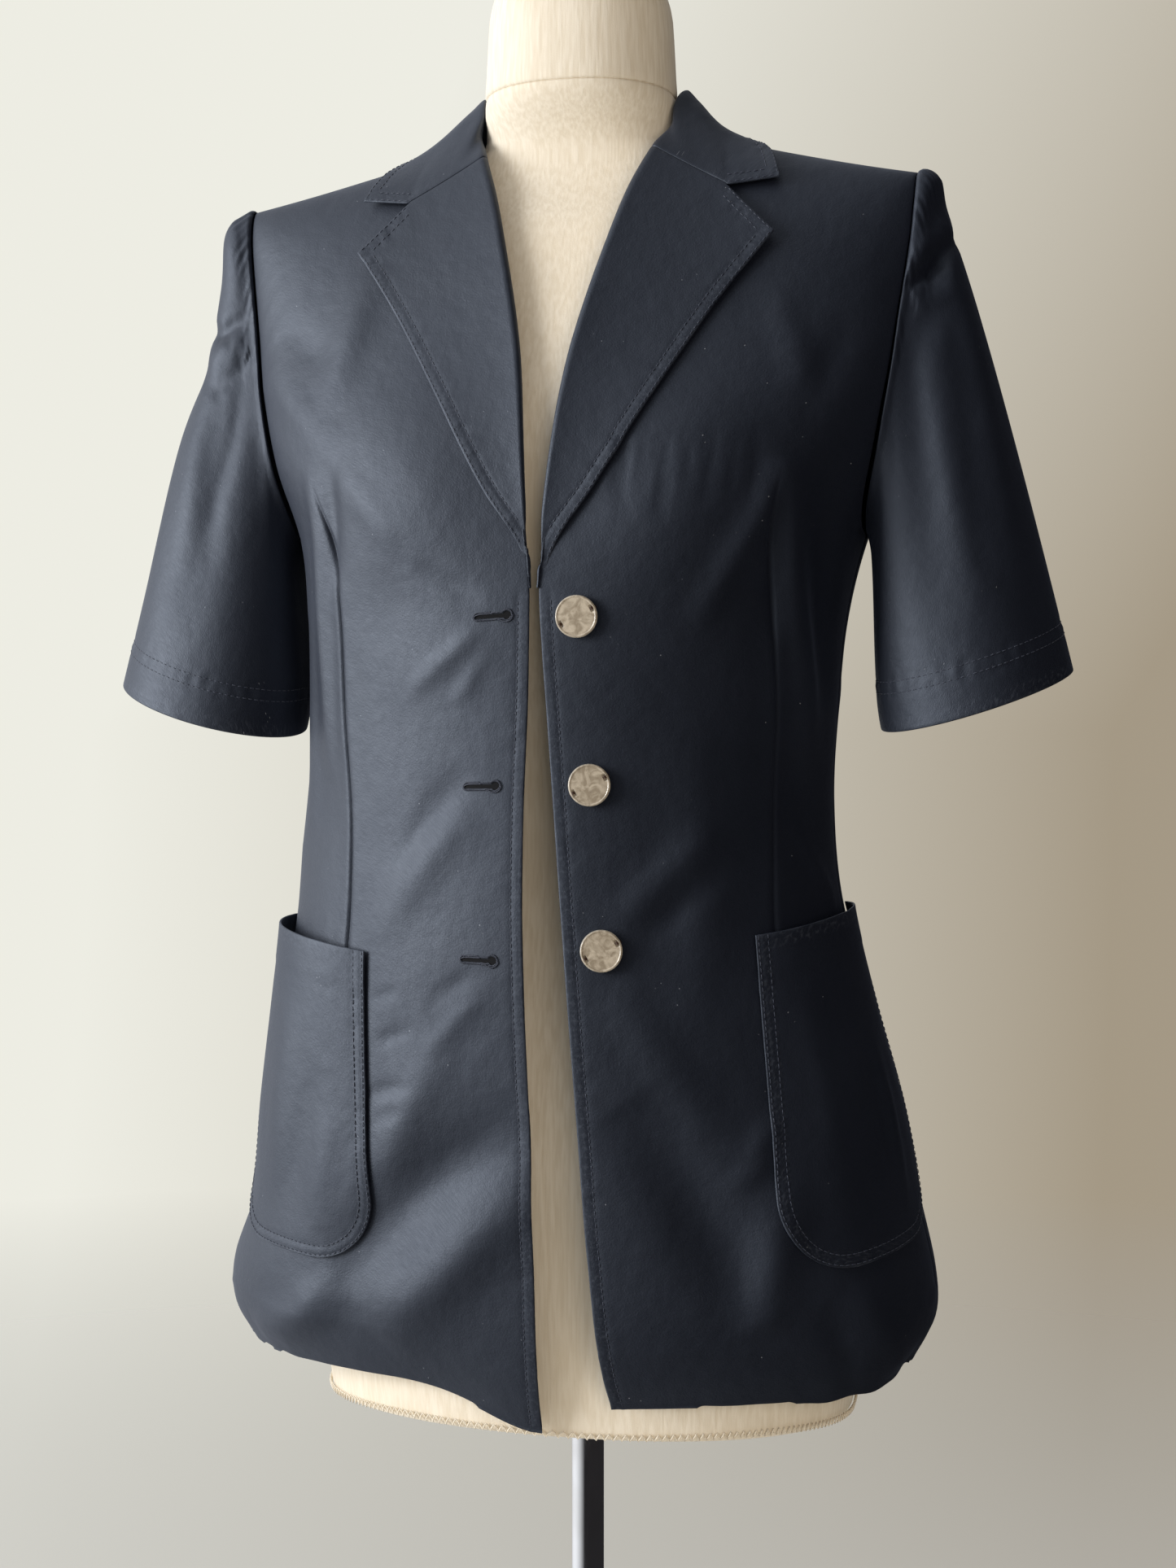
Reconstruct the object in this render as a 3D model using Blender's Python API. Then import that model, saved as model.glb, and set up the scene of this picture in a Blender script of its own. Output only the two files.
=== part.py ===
"""Short-sleeve blazer, worn open on a limbless dress form that stands on a pole.

Metres, +Z up. The origin is the middle of the foot's underside, on the pole's axis. The coat's front faces -Y
and the wearer's left is +X. SIDES gives each side's sign: right is -1, left is +1.

The coat's body is one smooth surface, coat(side, turn, row). turn is the angle round the body, from 0 at the
centre front to 90 at the side seam and 180 at the centre back. row runs up the front from 0 at the hem to TOP at
the shoulder seam and on down the back to 2 * TOP. Each piece of cloth is a patch of that surface, or is laid on
it, with a wall behind it.
"""

import bpy
import numpy as np

# Driving dimensions
WALL = 0.0018  # thickness of every piece of cloth
SEAM = 0.0003  # gap between two pieces that are sewn together
COLLAR_WALL = 0.0015
FORM_FOOT = 0.690  # lower edge of the dress form
NECK_SEAM = 1.4450
NECK_TOP = 1.5150
POLE_RADIUS = 0.0095
FOOT_RADIUS = 0.170
FOOT_THICK = 0.012
BUTTON_RADIUS = 0.0115
BUTTON_THICK = 0.0030
BUTTON_HEIGHTS = (1.1425, 1.0520, 0.9625)
BUTTON_FROM_EDGE = 0.0205
SIDES = {"right": -1, "left": 1}

# The coat's body, a row for each level from the hem to the shoulder seam: height at the centre, drop of the row's
# outer end, half width on the wearer's right and left, middle of the depth, depth to front and back, fullness
COAT = dict(
    zip(
        ("height", "drop", "right", "left", "middle", "front", "back", "fullness"),
        np.array(
            (
                (0.712, 0.000, 0.197, 0.192, 0.000, 0.1110, 0.122, 2.20),
                (0.732, 0.000, 0.213, 0.202, 0.000, 0.1130, 0.128, 2.20),
                (0.760, 0.000, 0.215, 0.204, 0.000, 0.1145, 0.130, 2.25),
                (0.805, 0.000, 0.200, 0.194, -0.002, 0.1125, 0.126, 2.30),
                (0.860, 0.000, 0.190, 0.183, -0.004, 0.1080, 0.117, 2.30),
                (0.920, 0.000, 0.180, 0.166, -0.006, 0.1040, 0.104, 2.25),
                (0.980, 0.000, 0.169, 0.151, -0.008, 0.1000, 0.091, 2.20),
                (1.035, 0.000, 0.162, 0.147, -0.008, 0.0985, 0.084, 2.20),
                (1.090, 0.000, 0.163, 0.149, -0.007, 0.1010, 0.085, 2.20),
                (1.145, 0.001, 0.166, 0.153, -0.004, 0.1080, 0.091, 2.25),
                (1.195, 0.003, 0.171, 0.164, 0.000, 0.1110, 0.098, 2.35),
                (1.245, 0.008, 0.187, 0.183, 0.000, 0.1030, 0.103, 2.50),
                (1.295, 0.017, 0.197, 0.195, -0.001, 0.0880, 0.103, 2.60),
                (1.345, 0.029, 0.201, 0.200, -0.004, 0.0700, 0.096, 2.70),
                (1.387, 0.038, 0.202, 0.201, -0.008, 0.0510, 0.080, 3.00),
                (1.419, 0.044, 0.202, 0.201, -0.011, 0.0330, 0.058, 3.50),
                (1.437, 0.046, 0.201, 0.200, -0.012, 0.0165, 0.031, 4.00),
                (1.4410, 0.046, 0.201, 0.200, -0.012, 0.0000, 0.000, 4.00),
            )
        ).T,
    )
)
TOP = len(COAT["height"]) - 1
UNDERARM = 10.0  # the row that the armhole's lowest point lies on
ARMHOLE_FRONT = UNDERARM + (TOP - UNDERARM) * np.array((0.05, 0.16, 0.30, 0.45, 0.60, 0.74, 0.87, 0.95))
ARMHOLE_BACK = np.r_[TOP + np.array((0.4, 0.8, 1.2, 1.6, 1.9)), np.linspace(TOP + 2.6, 2 * TOP - UNDERARM, 6)]
ARMHOLE_CUT = {"front": 25.0, "back": 24.0}  # degrees that it takes off the middle rows
SHOULDER_CUT = 9.0  # degrees that it takes off the shoulder seam
SHOULDER_END = 0.015  # row that front and back each stop short of the shoulder seam

# Hem: how far the front corner hangs below the rest, how far it rises at the side, and how much higher the front
# sits than the table says
HEM_DIP = {"right": 0.022, "left": 0.004}
HEM_AT_SIDE = {"right": 0.006, "left": 0.017}
HEM_LIFT = {"right": 0.006, "left": 0.002}

# Front edge and roll line: height, and distance from the middle towards the side named
FRONT_EDGE = {
    "right": ((0.690, 0.0010), (0.789, 0.0010), (0.864, 0.0040), (0.933, 0.0075), (0.980, 0.0090),
              (1.040, 0.0085), (1.100, 0.0055), (1.158, 0.0040)),
    "left": ((0.690, 0.0370), (0.789, 0.0290), (0.864, 0.0220), (0.933, 0.0160), (0.990, 0.0115),
             (1.070, 0.0060), (1.120, 0.0030), (1.158, 0.0015)),
}
ROLL_LINE = {
    "right": ((1.158, 0.0040), (1.2135, 0.0090), (1.285, 0.0175), (1.345, 0.0310), (1.384, 0.0425), (1.404, 0.0505)),
    "left": ((1.158, 0.0015), (1.2100, 0.0065), (1.285, 0.0165), (1.345, 0.0310), (1.384, 0.0425), (1.404, 0.0505)),
}
NECK_POINT = 0.0635  # half width of the neckline at the shoulder seam
BACK_NECK_ROW = TOP + 1.90  # the back's row that the neckline crosses at the centre

# Lapel: its outer edge from the break to the point, and its top edge (the gorge) from the roll line to the point
LAPEL_EDGE = ((1.160, 0.003), (1.178, 0.009), (1.211, 0.031), (1.263, 0.061), (1.316, 0.093), (1.3535, 0.1195))
GORGE = ((0.0505, 1.4040), (0.0908, 1.3832), (0.1195, 1.3535))
COLLAR_POINT = (0.1230, 1.3855)
NOTCH_SHARE = 0.52  # of the lapel's top edge, sewn to the collar

# Collar: a row for each station from the front end, over the shoulder seam, to the centre back. Coat row of the
# seam counted from the shoulder seam, height of the stand, distance from the middle and coat row of the fall's
# middle and of its outer edge. The first station's rows are found from the notch and the collar's point.
COLLAR = dict(
    zip(
        ("row", "stand", "middle_x", "middle_row", "edge_x", "edge_row"),
        np.array(
            (
                (-1.75, 0.0030, 0.0908, -2.40, 0.1230, -2.10),
                (-1.15, 0.0100, 0.0880, -1.45, 0.1180, -1.20),
                (-0.60, 0.0170, 0.0845, -0.65, 0.1120, -0.50),
                (0.00, 0.0230, 0.0800, 0.15, 0.1055, 0.25),
                (0.60, 0.0265, 0.0730, 0.95, 0.0965, 1.25),
                (1.20, 0.0290, 0.0590, 1.75, 0.0780, 2.20),
                (1.70, 0.0305, 0.0340, 2.35, 0.0450, 2.95),
                (1.90, 0.0310, 0.0000, 2.55, 0.0000, 3.20),
            )
        ).T,
    )
)

# Sleeve: middle of the cuff, its half width across and front to back, and how the cuff's plane leans
CUFF_MIDDLE = {"right": (-0.2310, -0.0120, 1.0965), "left": (0.2270, -0.0120, 1.0985)}
CUFF_ACROSS = {"right": 0.0590, "left": 0.0550}
CUFF_DEPTH = 0.0500
CUFF_LEAN = 17.0  # degrees, outer end up
CUFF_DIP = 10.0  # degrees, front down
CUFF_TURN = 12.0  # degrees, outer end forward
CAP_REACH = 0.045  # how far the cap runs outward before it turns down

# Patch pocket: height of the mouth's inner end, rise to its outer end, height of the bottom, distance of the inner
# edge from the front edge, width round the body at the bottom and at the mouth, how far the mouth stands open
POCKET = {
    "right": dict(mouth=0.9580, rise=0.010, bottom=0.7830, inset=0.099, low=0.130, high=0.108, open=0.0120),
    "left": dict(mouth=0.9700, rise=0.011, bottom=0.7890, inset=0.104, low=0.130, high=0.108, open=0.0120),
}
POCKET_CORNER = 0.042

# Dress form, a row for each level: height, half width, front and back of the section
FORM = dict(
    zip(
        ("height", "half", "front", "back"),
        np.array(
            (
                (0.690, 0.1560, -0.0900, 0.0980),
                (0.720, 0.1600, -0.0930, 0.1040),
                (0.780, 0.1630, -0.0950, 0.1100),
                (0.840, 0.1610, -0.0940, 0.1100),
                (0.900, 0.1500, -0.0890, 0.0980),
                (0.960, 0.1330, -0.0820, 0.0820),
                (1.020, 0.1210, -0.0770, 0.0700),
                (1.060, 0.1200, -0.0780, 0.0690),
                (1.100, 0.1260, -0.0830, 0.0720),
                (1.150, 0.1380, -0.0930, 0.0780),
                (1.200, 0.1460, -0.0990, 0.0850),
                (1.250, 0.1510, -0.0950, 0.0900),
                (1.300, 0.1580, -0.0830, 0.0900),
                (1.340, 0.1660, -0.0700, 0.0830),
                (1.370, 0.1560, -0.0590, 0.0710),
                (1.386, 0.1350, -0.0500, 0.0590),
                (1.398, 0.1060, -0.0450, 0.0500),
                (1.408, 0.0800, -0.0430, 0.0430),
                (1.417, 0.0615, -0.0450, 0.0375),
                (1.427, 0.0570, -0.0520, 0.0350),
                (1.436, 0.0560, -0.0600, 0.0338),
                (1.4447, 0.0555, -0.0645, 0.0335),
            )
        ).T,
    )
)
FORM_FULLNESS = 2.25
BUST = dict(aside=0.082, height=1.205, wide=0.046, tall=0.052)
BUST_ON_FORM = 0.013
BUST_ON_COAT = 0.007

# The coat's largest soft folds: side, turn and height of the middle, half width in degrees, half height, how far
# the middle moves out (a ridge) or in (a trough)
COAT_FOLDS = (
    ("right", 118, 0.740, 14, 0.070, 0.006),
    ("right", 152, 0.735, 13, 0.090, 0.005),
    ("left", 60, 0.735, 13, 0.080, 0.005),
    ("left", 122, 0.740, 14, 0.070, 0.006),
    ("left", 156, 0.735, 13, 0.085, 0.005),
    ("right", 66, 1.045, 13, 0.040, -0.004),
    ("left", 64, 1.050, 12, 0.042, -0.004),
    ("right", 30, 1.150, 12, 0.030, -0.003),
    ("left", 112, 1.060, 15, 0.050, -0.004),
    ("right", 112, 1.060, 15, 0.050, -0.004),
)
# The sleeves' folds: side, place round (0 underarm, 0.25 front, 0.5 outside), place along, half sizes, depth
SLEEVE_FOLDS = (
    ("right", 0.44, 0.30, 0.07, 0.10, -0.0040),
    ("right", 0.27, 0.60, 0.05, 0.30, -0.0035),
    ("right", 0.80, 0.55, 0.07, 0.30, -0.0040),
    ("left", 0.36, 0.26, 0.08, 0.08, -0.0050),
    ("left", 0.22, 0.55, 0.05, 0.30, -0.0040),
    ("left", 0.78, 0.55, 0.07, 0.30, -0.0040),
)


def curve(xs, ys, at):
    """Smooth curve through the points (xs, ys), read at: cubic pieces whose slopes at the points are the mean
    slopes of the chords beside them."""
    xs = np.asarray(xs, float)
    ys = np.asarray(ys, float)
    slopes = np.gradient(ys, xs)
    i = np.clip(np.searchsorted(xs, at, side="right") - 1, 0, len(xs) - 2)
    step = xs[i + 1] - xs[i]
    s = np.clip((at - xs[i]) / step, 0, 1)
    ends = (1 + 2 * s) * (1 - s) ** 2 * ys[i] + s * s * (3 - 2 * s) * ys[i + 1]
    return ends + step * (s * (1 - s) ** 2 * slopes[i] - s * s * (1 - s) * slopes[i + 1])


def coat_value(column, row, mirror=1):
    """A column of COAT at any row. The back's rows repeat the front's, so the curve is even about the shoulder."""
    values = COAT[column]
    return curve(np.arange(2 * TOP + 1), np.r_[values, mirror * values[-2::-1]], row)


def depth_at(row):
    """Depth of the row's middle: minus the front's depth before the shoulder seam, plus the back's after it."""
    return curve(np.arange(2 * TOP + 1), np.r_[-COAT["front"], COAT["back"][-2::-1]], row)


def bump(x, z, height):
    """Fullness over each side of the bust, as a rounded hill on the front."""
    return height * np.exp(
        -(((np.abs(x) - BUST["aside"]) / BUST["wide"]) ** 2) - ((z - BUST["height"]) / BUST["tall"]) ** 2
    )


def form_level(points):
    """How far outside the form's section a point lies at its own height, as a share of the section."""
    x, y, z = np.moveaxis(points, -1, 0)
    half, front, back = (curve(FORM["height"], FORM[name], z) for name in ("half", "front", "back"))
    y = y + np.where(y < 0, bump(x, z, BUST_ON_FORM), 0)
    middle = (front + back) / 2
    across = np.abs(x / half) ** FORM_FULLNESS
    along = np.abs((y - middle) / ((back - front) / 2)) ** FORM_FULLNESS
    return (across + along) ** (1 / FORM_FULLNESS) - 1


def rest_on_form(points, gap):
    """Points nearer than gap to the form are moved straight out of it until they lie on it."""
    tick = 1e-5
    points = points.copy()
    for _ in range(4):
        slope = np.stack(
            [(form_level(points + tick * e) - form_level(points - tick * e)) / (2 * tick) for e in np.eye(3)], -1
        )
        size = np.linalg.norm(slope, axis=-1, keepdims=True) + 1e-9
        distance = form_level(points)[..., None] / size
        points += slope / size * np.clip(gap - distance, 0, 0.01)
    return points


def plain_coat(side, turn, row):
    """The coat's body before its folds: each row is a rounded oval, full in proportion to its fullness, whose
    outer end is lowered by its drop."""
    turn, row = np.broadcast_arrays(np.asarray(turn, float), np.asarray(row, float))
    sign = SIDES[side]
    power = 2 / coat_value("fullness", row)
    half = coat_value(side, row)
    # across the middle both sides share the mean width, so the centre seam meets
    half = half + (0.5 * (coat_value("right", row) + coat_value("left", row)) - half) * np.exp(
        -((np.sin(np.radians(turn)) / 0.25) ** 2)
    )
    sine = np.sin(np.radians(turn))
    cosine = np.cos(np.radians(turn))
    depth = np.where(cosine >= 0, depth_at(row), depth_at(2 * TOP - row))
    x = half * np.sign(sine) * np.abs(sine) ** power
    y = coat_value("middle", row) + depth * np.abs(cosine) ** power
    outer = np.sqrt((x / half) ** 2 + 0.01) / np.sqrt(1.01)
    z = coat_value("height", row) - coat_value("drop", row) * (1 - (1 - outer).clip(0) ** 1.2)
    low = np.clip(1 - np.minimum(row, 2 * TOP - row) / 9, 0, 1)
    forward = np.where(row <= TOP, cosine, -cosine)
    corner = np.exp(-((x / 0.045) ** 2)) * (forward > 0)
    z = z + low * (HEM_LIFT[side] * (1 + forward) / 2 + HEM_AT_SIDE[side] * np.abs(sine) ** 6)
    z = z - low**2 * HEM_DIP[side] * corner
    y = y - np.where(y < 0, bump(x, z, BUST_ON_COAT), 0)
    return np.stack([sign * x, y, z], -1)


def outward(surface, turn, row):
    """Unit normal of surface(turn, row), out of the body, from small steps both ways."""
    across = surface(turn + 0.4, row) - surface(turn - 0.4, row)
    up = surface(turn, row + 0.02) - surface(turn, row - 0.02)
    normal = np.cross(across, up)
    normal /= np.linalg.norm(normal, axis=-1, keepdims=True) + 1e-12
    here = surface(turn, row)
    out = here * (1, 1, 0) + (0, 0, 0.03)
    return normal * np.where((normal * out).sum(-1, keepdims=True) < 0, -1, 1)


def coat(side, turn, row):
    """The coat's outer surface: plain_coat with its folds, held clear of the form by the wall and a seam's gap."""
    turn, row = np.broadcast_arrays(np.asarray(turn, float), np.asarray(row, float))
    points = plain_coat(side, turn, row)
    normal = outward(lambda a, b: plain_coat(side, a, b), turn, row)
    round_body = np.where(row <= TOP, turn, 180 - turn)
    for where, middle, height, wide, tall, depth in COAT_FOLDS:
        if where == side:
            reach = ((round_body - middle) / wide) ** 2 + ((points[..., 2] - height) / tall) ** 2
            points = points + normal * (depth * np.exp(-reach))[..., None]
    return rest_on_form(points, WALL + SEAM + 0.0008)


def coat_normal(side, turn, row):
    return outward(lambda a, b: coat(side, a, b), np.asarray(turn, float), np.asarray(row, float))


def turn_at(side, x, row):
    """The turn at which a row reaches the distance x from the middle."""
    share = np.clip(np.abs(x) / coat_value(side, row), 0, 1) ** (coat_value("fullness", row) / 2)
    return np.sign(x) * np.degrees(np.arcsin(share))


def on_front(side, x, z):
    """Turn and row of the front's point at distance x from the middle and height z, by halving the rows."""
    x, z = np.broadcast_arrays(np.asarray(x, float), np.asarray(z, float))
    low = np.zeros(x.shape)
    high = np.full(x.shape, TOP - 0.02)
    for _ in range(24):
        row = (low + high) / 2
        under = plain_coat(side, turn_at(side, x, row), row)[..., 2] < z
        low = np.where(under, row, low)
        high = np.where(under, high, row)
    return turn_at(side, x, row), row


def way_along(points):
    """Distance from the first point to each point of a line."""
    return np.r_[0, np.cumsum(np.linalg.norm(np.diff(points, axis=0), axis=1))]


def even_turns(side, row, start, end, shares):
    """For each row, the turns that split the way from start to end into the given shares of its length."""
    turns = []
    for r, a, b in zip(row, start, end):
        dense = np.linspace(a, b, 90)
        way = way_along(plain_coat(side, dense, r))
        turns.append(np.interp(shares * way[-1], way, dense))
    return np.array(turns)


def turn_after(side, row, start, distance):
    """For each row, the turn that lies a distance round the body from start."""
    turns = []
    for r, a, d in zip(np.atleast_1d(row), np.atleast_1d(start), np.atleast_1d(distance)):
        dense = np.linspace(a, 170.0, 160)
        turns.append(np.interp(d, way_along(plain_coat(side, dense, r)), dense))
    return np.array(turns)


def material(name, colour, roughness, metallic=0.0):
    made = bpy.data.materials.new(name)
    made.use_nodes = True
    shader = made.node_tree.nodes["Principled BSDF"]
    shader.inputs["Base Color"].default_value = (*colour, 1)
    shader.inputs["Roughness"].default_value = roughness
    shader.inputs["Metallic"].default_value = metallic
    made.diffuse_color = (*colour, 1)
    return made


def add_mesh(name, points, faces, finish):
    mesh = bpy.data.meshes.new(name)
    mesh.from_pydata(points.tolist(), [], faces)
    mesh.materials.append(finish)
    mesh.shade_smooth()
    mesh.set_sharp_from_angle(angle=np.radians(40))
    made = bpy.data.objects.new(name, mesh)
    bpy.context.scene.collection.objects.link(made)
    return made


def wall(name, outer, normal, thick, finish, ring=False):
    """Closed wall behind a grid of points: the same grid moved in by its thickness, joined at the rims. A ring
    closes on itself across its columns."""
    rows, columns = outer.shape[:2]
    inner = outer - normal * thick
    points = np.concatenate([outer.reshape(-1, 3), inner.reshape(-1, 3)])
    front = np.arange(rows * columns).reshape(rows, columns)
    back = front + rows * columns
    if ring:
        front = np.c_[front, front[:, :1]]
        back = np.c_[back, back[:, :1]]

    def quads(a, b, c, d):
        return np.stack([a.ravel(), b.ravel(), c.ravel(), d.ravel()], -1)

    faces = [
        quads(front[:-1, :-1], front[:-1, 1:], front[1:, 1:], front[1:, :-1]),
        quads(back[:-1, :-1], back[1:, :-1], back[1:, 1:], back[:-1, 1:]),
        quads(front[0, 1:], front[0, :-1], back[0, :-1], back[0, 1:]),
        quads(front[-1, :-1], front[-1, 1:], back[-1, 1:], back[-1, :-1]),
    ]
    if not ring:
        faces.append(quads(front[:-1, 0], front[1:, 0], back[1:, 0], back[:-1, 0]))
        faces.append(quads(front[1:, -1], front[:-1, -1], back[:-1, -1], back[1:, -1]))
    faces = np.concatenate(faces)
    a, b, c, d = (points[faces[:, k]] for k in range(4))
    volume = (np.cross(b - a, c - a) * a).sum() + (np.cross(c - a, d - a) * a).sum()
    if volume < 0:
        faces = faces[:, ::-1]
    return add_mesh(name, points, faces.tolist(), finish)


def turned(name, rings, finish):
    """Solid through closed rings, from the bottom ring to the top one, with flat ends."""
    count, sides = rings.shape[:2]
    index = np.arange(count * sides).reshape(count, sides)
    following = np.roll(index, -1, axis=1)
    faces = np.stack([index[:-1], following[:-1], following[1:], index[1:]], -1).reshape(-1, 4).tolist()
    faces.append(index[0, ::-1].tolist())
    faces.append(index[-1].tolist())
    return add_mesh(name, rings.reshape(-1, 3), faces, finish)


def grid_normal(points, ring=False):
    """Unit normals of a grid of points, from its neighbours."""
    if ring:
        across = np.roll(points, -1, axis=1) - np.roll(points, 1, axis=1)
    else:
        across = np.gradient(points, axis=1)
    normal = np.cross(across, np.gradient(points, axis=0))
    return normal / np.linalg.norm(normal, axis=-1, keepdims=True)


def armhole_turn(row):
    """Where the armhole cuts each row: short of the side by nothing at the underarm and at the shoulder, and by
    the whole cut between them."""
    share = np.clip((np.minimum(row, 2 * TOP - row) - UNDERARM) / (TOP - UNDERARM), 0, 1)
    cut = np.where(row <= TOP, ARMHOLE_CUT["front"], ARMHOLE_CUT["back"])
    return 90 - cut * np.sin(np.pi * share**0.9).clip(0) ** 0.62 - SHOULDER_CUT * share**2


def inner_x(side, row):
    """Distance from the middle to the front's inner boundary: front edge, then roll line, then neckline."""
    points = np.array(FRONT_EDGE[side][:-1] + ROLL_LINE[side])
    rows = np.r_[on_front(side, points[:, 1], points[:, 0])[1], TOP]
    distances = np.r_[points[:, 1], NECK_POINT]
    return np.interp(row, rows, distances) * 0.3 + curve(rows, distances, row) * 0.7


def front_boundary(side, row):
    return turn_at(side, inner_x(side, row), row)


def build_front(side, finish):
    low = np.linspace(0, UNDERARM, 13)
    rows = np.r_[low, ARMHOLE_FRONT, TOP - SHOULDER_END]
    start = front_boundary(side, rows)
    end = np.where(rows <= UNDERARM, 90 - 0.06, armhole_turn(rows))
    turns = even_turns(side, rows, start, end, np.linspace(0, 1, 14))
    grid_rows = np.broadcast_to(rows[:, None], turns.shape)
    wall(f"front_{side}", coat(side, turns, grid_rows), coat_normal(side, turns, grid_rows), WALL, finish)


def back_neck_x(row):
    share = np.clip((row - TOP) / (BACK_NECK_ROW - TOP), 0, 1)
    return NECK_POINT * np.sqrt(1 - share**2)


def build_back(side, finish):
    low = np.linspace(2 * TOP - UNDERARM + 0.8, 2 * TOP, 10)
    rows = np.r_[TOP + SHOULDER_END, ARMHOLE_BACK, low]
    start = np.maximum(turn_at(side, back_neck_x(rows), rows), 0.06)
    end = np.where(rows >= 2 * TOP - UNDERARM, 90 - 0.06, armhole_turn(rows))
    turns = even_turns(side, rows, start, end, np.linspace(0, 1, 12))
    grid_rows = np.broadcast_to(rows[:, None], turns.shape)
    wall(f"back_{side}", coat(side, turns, grid_rows), coat_normal(side, turns, grid_rows), WALL, finish)


def sleeve_surface(side, around, along):
    """The sleeve: for each place round the armhole, a cubic curve that leaves it outward and reaches the cuff
    along the arm. around is 0 at the underarm, 0.25 at the front, 0.5 at the shoulder and 0.75 at the back."""
    sign = SIDES[side]
    around = around % 1
    row = UNDERARM + 2 * (TOP - UNDERARM) * around
    hole = coat(side, armhole_turn(row), row)
    out = coat_normal(side, armhole_turn(row), row)
    along_edge = coat(side, armhole_turn(row + 0.05), row + 0.05) - coat(side, armhole_turn(row - 0.05), row - 0.05)
    into = sign * np.cross(along_edge, out)
    into /= np.linalg.norm(into, axis=-1, keepdims=True)
    angle = 2 * np.pi * around
    lean, dip, turn = np.radians((CUFF_LEAN, CUFF_DIP, CUFF_TURN))
    across = np.array((sign * np.cos(lean) * np.cos(turn), -np.cos(lean) * np.sin(turn), np.sin(lean)))
    forward = np.array((-sign * np.sin(turn), -np.cos(dip) * np.cos(turn), -np.sin(dip)))
    middle = np.array(CUFF_MIDDLE[side])
    cuff = (
        middle
        - across * (CUFF_ACROSS[side] * np.cos(angle))[..., None]
        + forward * (CUFF_DEPTH * np.sin(angle))[..., None]
    )
    top_share = (1 - np.cos(angle)) / 2
    reach = 0.020 + (CAP_REACH - 0.020) * top_share**2
    leave = np.stack([sign * reach, 0 * reach, -0.050 * (1 - top_share) ** 1.2], -1)
    length = np.linalg.norm(cuff - hole, axis=-1)
    fall = np.array((sign * 0.24, -0.04, -0.97))
    arrive = fall * (length * (0.75 + 0.25 * top_share))[..., None]
    hole = hole + into * (SEAM + 0.0008) + out * ((WALL + SEAM) * (1 - top_share) ** 3)[..., None]
    s = along[..., None]
    return (
        (1 + 2 * s) * (1 - s) ** 2 * hole
        + s * (1 - s) ** 2 * leave
        + s * s * (3 - 2 * s) * cuff
        - s * s * (1 - s) * arrive
    )


def build_sleeve(side, finish):
    rows = np.r_[UNDERARM, ARMHOLE_FRONT, TOP, ARMHOLE_BACK[:-1]]
    around, along = np.meshgrid((rows - UNDERARM) / (2 * (TOP - UNDERARM)), np.linspace(0, 1, 12) ** 1.15)
    points = sleeve_surface(side, around, along)
    normal = grid_normal(points, ring=True)
    middle = points.mean(axis=1, keepdims=True)
    normal *= np.sign(((points - middle) * normal).sum())
    for where, place, height, wide, tall, depth in SLEEVE_FOLDS:
        if where == side:
            apart = (around - place + 0.5) % 1 - 0.5
            reach = (apart / wide) ** 2 + ((along - height) / tall) ** 2
            points = points + normal * (depth * np.exp(-reach) * np.minimum(1, along * 8))[..., None]
    wall(f"sleeve_{side}", points, normal, WALL, finish, ring=True)


def gorge_point(side, share):
    """Distance from the middle and height of the lapel's top edge, from the roll line to its point."""
    knots = (0, NOTCH_SHARE, 1)
    x = np.interp(share, knots, [p[0] for p in GORGE])
    z = np.interp(share, knots, [p[1] for p in GORGE])
    return x, z


def build_lapel(side, finish):
    """The turned-back leaf: straight rulings from the roll line to the outer edge, laid on the front and held
    off it by a soft roll near the roll line."""
    up = np.linspace(0, 1, 13)
    out = np.array((0, 0.07, 0.16, 0.30, 0.46, 0.64, 0.82, 1.0))
    roll = np.array(ROLL_LINE[side])
    edge = np.array(LAPEL_EDGE)
    roll_way, edge_way = way_along(roll), way_along(edge)
    inner = [curve(roll_way, roll[:, k], up * roll_way[-1]) for k in (1, 0)]
    outer = [curve(edge_way, edge[:, k], up * edge_way[-1]) for k in (1, 0)]
    x = inner[0][:, None] + (outer[0] - inner[0])[:, None] * out
    z = inner[1][:, None] + (outer[1] - inner[1])[:, None] * out
    top_x, top_z = gorge_point(side, out)
    top_x = top_x + (roll[-1, 1] - GORGE[0][0]) * (1 - out)
    blend = np.clip((up - 0.70) / 0.30, 0, 1)[:, None] ** 2
    x = x + blend * (top_x - x[-1])
    z = z + blend * (top_z - 0.0007 - z[-1])
    turn, row = on_front(side, x, z)
    normal = coat_normal(side, turn, row)
    width = np.hypot(x[:, -1:] - x[:, :1], z[:, -1:] - z[:, :1])
    rise = 0.0035 * np.sin(np.pi * np.clip(out / 0.45, 0, 1)) * np.clip(width / 0.05, 0, 1)
    lift = COLLAR_WALL + SEAM + 0.0008 + rise
    points = coat(side, turn, row) + normal * lift[..., None]
    wall(f"lapel_{side}", points, normal, COLLAR_WALL, finish)


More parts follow.
